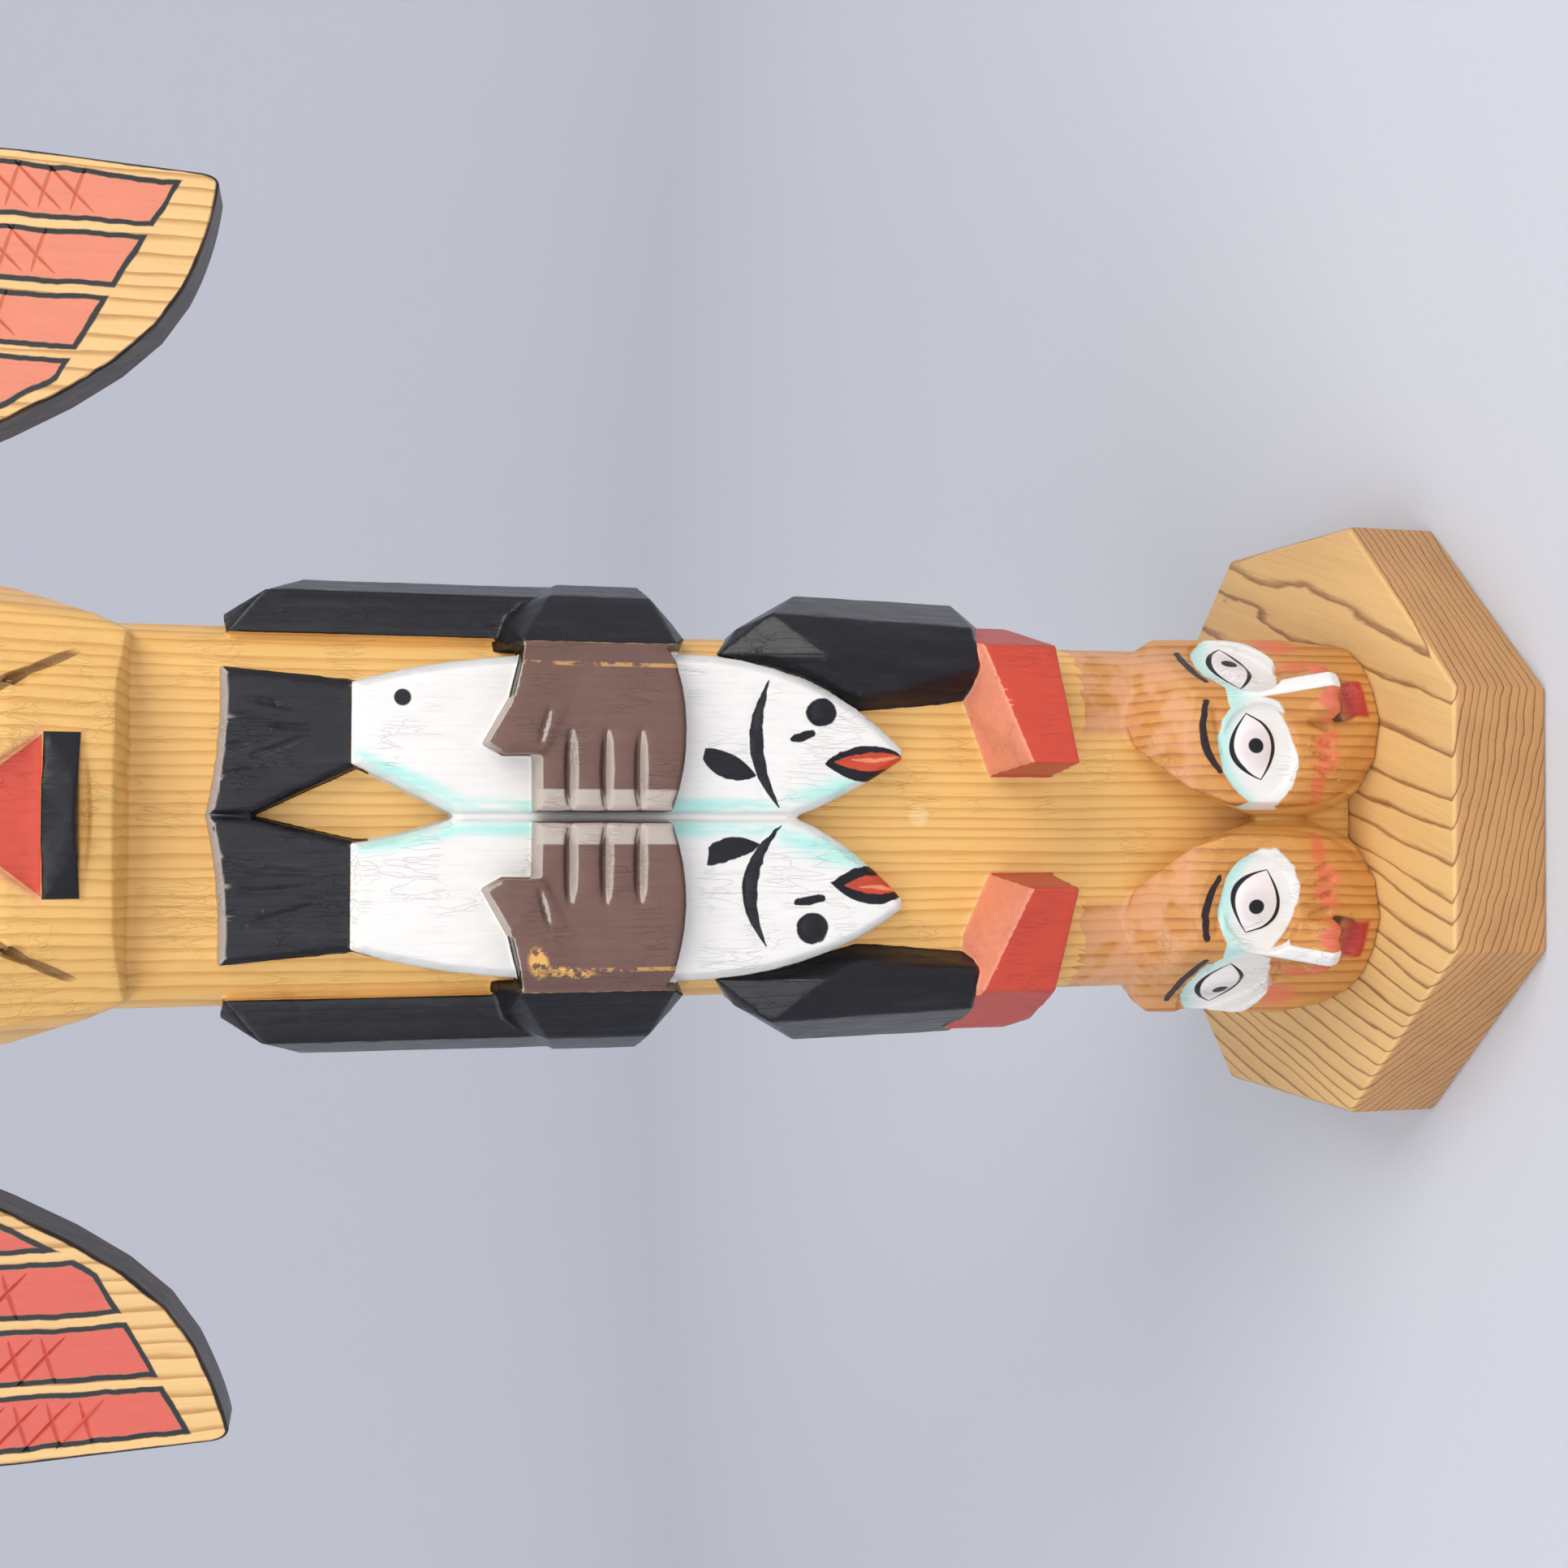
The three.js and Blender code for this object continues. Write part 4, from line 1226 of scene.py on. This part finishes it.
def wing_paint(side):
    outer = FEATHER_EDGE[side]
    drop = WING_DROP[side]

    def paint(g, point):
        c = settings()[1]
        grain_place = g.vector("ADD", point, (side * 30, -60, 0))
        wood = g.group(
            "Cedar grain", Point=grain_place, Pitch=2.6, Warp=8.0, Line=0.4, Light=c.board_light,
            Dark=srgb("#b07a3c"),
        )
        hue, height = wood["Color"], g.times(wood["Height"], 0.06)
        axes = g.split(point)
        shake = g.minus(g.noise(g.stretched(point, (0.1, 0.1, 0.22)), 1.0, 3.0), 0.5)
        across = g.plus(g.times(axes[0], side), g.times(shake, 1.1))
        inward = g.minus(outer, across)
        up = g.plus(axes[2], -drop)
        line = g.plus(g.times(inward, FEATHER_RISE), FEATHER_LOW)
        over_end = g.minus(g.plus(up, g.times(shake, 0.8)), line)
        inside_edge = g.node("ShaderNodeAttribute", attribute_name="rim").outputs["Fac"]
        rim = g.minus(inside_edge, g.times(shake, 1.2))
        place = g.math("MODULO", g.minus(inward, 1.4), FEATHER_PITCH)
        from_gap = g.math("MINIMUM", place, g.minus(FEATHER_PITCH, place))
        upper_row = g.step(axes[2], 332, 332.4)
        free = g.math("MINIMUM", g.minus(from_gap, 0.75), g.times(over_end, 0.9))
        free = g.math("MINIMUM", free, g.minus(rim, 2.2))
        free = g.math("MINIMUM", free, g.minus(g.size_of(g.minus(axes[2], 333)), 1.6))
        outline = g.band(free, 0.0, 0.95, 0.14)
        feather = g.step(free, 0.8, 1.1)
        # Painted light and shade: one red, painted lighter on the right wing and deeper on the left, as the
        # lamps fall on them
        red = srgb("#d25a4a") if side < 0 else srgb("#dc7f61")
        tint = g.mix(upper_row, red, srgb("#cfe0d8"))
        hue, height = add_paint(g, point, hue, height, feather, tint, 0.1)
        hue, height = add_paint(g, point, hue, height, outline, c.black, 0.25)
        sides = g.below(inside_edge, 0.25, 0.5)
        edge = g.below(rim, 0.5, 0.9)
        hue, height = add_paint(g, point, hue, height, edge, c.black, 0.3)
        rub = g.both(sides, g.step(g.noise(g.stretched(point, (0.2, 0.6, 0.1)), 1.0, 3.0), 0.4, 0.7))
        hue = g.mix(g.times(rub, 0.6), hue, srgb("#5d4532"))
        return hue, 0.45, height

    return paint


def rim_distances(piece, solid):
    """How far each vertex of a board lies inside the outline of its uncut solid."""
    mesh = piece.data
    corners = [v.co / MM for v in solid.vertices]
    walls = [tuple(f.vertices) for f in solid.polygons if abs(f.normal.y) < 0.2]
    tree = BVHTree.FromPolygons(corners, walls)
    values = [tree.find_nearest(v.co / MM)[3] for v in mesh.vertices]
    attribute = mesh.attributes.new("rim", "FLOAT", "POINT")
    attribute.data.foreach_set("value", np.array(values, dtype=np.float32))


class TOTEM_OT_wings(bpy.types.Operator):
    """Cut the hatching into both wing boards and paint their feathers"""

    bl_idname = "totem.wings"
    bl_label = "Wings"

    def execute(self, context):
        sizes = settings()[0]
        for side, node in ((-1, "wing_left"), (1, "wing_right")):
            wing = copy_of_node(node, f"painted_{node}")
            solid = wing.data.copy()
            steep, shallow = hatching(side, sizes)
            carve(wing, shallow)
            carve(wing, steep)
            select_only(wing)
            bpy.ops.object.mode_set(mode="EDIT")
            bpy.ops.mesh.select_all(action="SELECT")
            bpy.ops.mesh.quads_convert_to_tris()
            for plane in range(40):
                bpy.ops.mesh.select_all(action="SELECT")
                bpy.ops.mesh.bisect(
                    plane_co=(0, 0, (230 + plane * 4.5) * MM), plane_no=(0, 0, 1), threshold=0.001 * MM
                )
            for plane in range(18):
                bpy.ops.mesh.select_all(action="SELECT")
                bpy.ops.mesh.bisect(
                    plane_co=(side * (46 + plane * 4) * MM, 0, 0), plane_no=(1, 0, 0), threshold=0.001 * MM
                )
            bpy.ops.object.mode_set(mode="OBJECT")
            rim_distances(wing, solid)
            bpy.data.meshes.remove(solid)
            bpy.ops.object.shade_smooth_by_angle(angle=math.radians(14))
            wing.data.materials.append(new_material(f"Feathers {node}", wing_paint(side), coat=0.15))
            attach(wing, "root")
            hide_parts(node)
        return {"FINISHED"}


def board_paint(g, point):
    """The plinth's board: nearly level rings that dip to the right, with the grain running back."""
    c = settings()[1]
    grain_turn = math.radians(17)
    spun = g.node(
        "ShaderNodeVectorRotate", {"Vector": point, "Angle": grain_turn}, rotation_type="Z_AXIS"
    ).outputs[0]
    stood = g.node(
        "ShaderNodeMapping",
        {"Vector": spun, "Rotation": (math.radians(90), 0, 0), "Location": (-64, 190, 0)},
    ).outputs[0]
    wood = g.group(
        "Cedar grain", Point=stood, Pitch=1.6, Warp=5.0, Line=0.26, Light=c.board_light, Dark=c.board_dark,
    )
    hue = wood["Color"]
    # The plinth is darker on its upright faces than on its top and bottom
    upright_faces = g.below(g.size_of(facing(g, (0, 0, 1))), 0.5, 0.8)
    hue = g.mix(g.times(upright_faces, 0.55), hue, srgb("#b27a38"), "MULTIPLY")
    height = g.times(wood["Height"], 0.08)
    return hue, 0.5, height


class TOTEM_OT_base(bpy.types.Operator):
    """Finish the octagonal plinth board with broken edges and cedar grain"""

    bl_idname = "totem.base"
    bl_label = "Base"

    def execute(self, context):
        base = copy_of_node("base", "plinth_board")
        finish_modifier(base, "BEVEL", width=0.35 * MM, segments=2, limit_method="ANGLE")
        select_only(base)
        bpy.ops.object.shade_smooth_by_angle(angle=math.radians(30))
        base.data.materials.append(new_material("Plinth cedar", board_paint, coat=0.15))
        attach(base, "root")
        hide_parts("base")
        return {"FINISHED"}


FLAT_SHARE = 0.6  # how much of the stage's radius is level


def paper(g, point):
    c = settings()[1]
    tooth = g.noise(point, 0.4, 2.0)
    return g.mix(g.times(tooth, 0.05), c.floor, (0.3, 0.3, 0.32)), 0.8, g.times(tooth, 0.02)


class TOTEM_OT_stage(bpy.types.Operator):
    """Lay the seamless floor and set the camera and the soft lights"""

    bl_idname = "totem.stage"
    bl_label = "Stage, camera and lights"

    def execute(self, context):
        radius = settings()[0].stage_radius
        bpy.ops.object.select_all(action="DESELECT")
        bpy.ops.mesh.primitive_circle_add(vertices=64, radius=radius * FLAT_SHARE, fill_type="NGON")
        floor = bpy.context.object
        floor.name = "seamless_floor"
        bpy.ops.object.mode_set(mode="EDIT")
        bpy.ops.mesh.select_mode(type="EDGE")
        steps = 10
        flat, turn_up = radius * FLAT_SHARE, radius * (1 - FLAT_SHARE)
        for step in range(steps):
            low, high = (math.pi / 2 * (step + k) / steps for k in (0, 1))
            bpy.ops.mesh.select_all(action="DESELECT")
            bpy.ops.mesh.select_non_manifold()
            bpy.ops.mesh.extrude_edges_move()
            now = flat + turn_up * math.sin(low)
            then = flat + turn_up * math.sin(high)
            bpy.ops.transform.resize(value=(then / now, then / now, 1))
            bpy.ops.transform.translate(value=(0, 0, turn_up * (math.cos(low) - math.cos(high))))
        bpy.ops.mesh.select_all(action="DESELECT")
        bpy.ops.mesh.select_non_manifold()
        bpy.ops.mesh.extrude_edges_move(TRANSFORM_OT_translate={"value": (0, 0, radius * 0.5)})
        bpy.ops.mesh.select_all(action="SELECT")
        bpy.ops.mesh.normals_make_consistent(inside=True)
        bpy.ops.object.mode_set(mode="OBJECT")
        bpy.ops.object.shade_smooth()
        floor.data.materials.append(new_material("Paper", paper))
        for name, place, aim, size, watts, tint in LIGHTS:
            bpy.ops.object.light_add(type="AREA", location=place)
            lamp = bpy.context.object
            lamp.name = name
            lamp.data.size = size
            lamp.data.energy = watts
            lamp.data.color = tint
            lamp.rotation_euler = (Vector(aim) - Vector(place)).to_track_quat("-Z", "Y").to_euler()
        world = bpy.data.worlds.new("Soft room")
        world.use_nodes = True
        world.node_tree.nodes["Background"].inputs[0].default_value = (0.9, 0.91, 0.95, 1)
        world.node_tree.nodes["Background"].inputs[1].default_value = 0.62
        context.scene.world = world
        set_camera(context.scene)
        context.scene.view_settings.view_transform = "Standard"
        return {"FINISHED"}


LIGHTS = (
    ("window", (0.9, -0.7, 0.95), (0, 0, 0.16), 0.9, 11, (1.0, 0.98, 0.95)),
    ("sky", (-0.7, -0.8, 1.0), (0, 0, 0.2), 1.1, 9, (0.94, 0.97, 1.0)),
    ("front", (0.05, -1.15, 0.35), (0, 0, 0.12), 0.9, 3.2, (1.0, 1.0, 1.0)),
)


def set_camera(scene):
    """The picture lies on its side: its right is the foot of the pole."""
    pitch, yaw, roll = -0.249821, -0.018336, -0.007683
    spin = Matrix.Rotation(roll, 3, "Y")
    turned_head = Matrix.Rotation(yaw, 3, "Z") @ Matrix.Rotation(pitch, 3, "X") @ spin
    right, forward, up = turned_head.col[0], turned_head.col[1], turned_head.col[2]
    data = bpy.data.cameras.new("camera")
    data.sensor_width = 36
    data.lens = 40.44
    data.clip_start = 0.01
    camera = bpy.data.objects.new("camera", data)
    scene.collection.objects.link(camera)
    axes = Matrix((-up, right, -forward)).transposed().to_4x4()
    camera.matrix_world = Matrix.Translation(Vector((0.35, -328.54, 210.34)) * MM) @ axes
    scene.camera = camera


class TOTEM_PT_panel(bpy.types.Panel):
    """Lists the steps that make the totem pole"""

    bl_label = "Totem pole"
    bl_idname = "TOTEM_PT_panel"
    bl_space_type = "VIEW_3D"
    bl_region_type = "UI"
    bl_category = "Totem"

    def draw(self, context):
        for maker in MAKERS:
            self.layout.operator(maker.bl_idname)
        for group in (context.scene.totem_sizes, context.scene.totem_colours):
            for key in group.__annotations__:
                self.layout.prop(group, key)


MAKERS = (TOTEM_OT_base, TOTEM_OT_pole, TOTEM_OT_wings, TOTEM_OT_stage)
CLASSES = (TotemSizes, TotemColours, *MAKERS, TOTEM_PT_panel)


def register():
    for kind in CLASSES:
        bpy.utils.register_class(kind)
    bpy.types.Scene.totem_sizes = bpy.props.PointerProperty(type=TotemSizes)
    bpy.types.Scene.totem_colours = bpy.props.PointerProperty(type=TotemColours)


def unregister():
    del bpy.types.Scene.totem_colours
    del bpy.types.Scene.totem_sizes
    for kind in reversed(CLASSES):
        bpy.utils.unregister_class(kind)


def main():
    register()
    for make_group in GROUPS:
        make_group()
    bpy.ops.totem.base()
    bpy.ops.totem.pole()
    bpy.ops.totem.wings()
    bpy.ops.totem.stage()


if __name__ == "__main__":
    main()
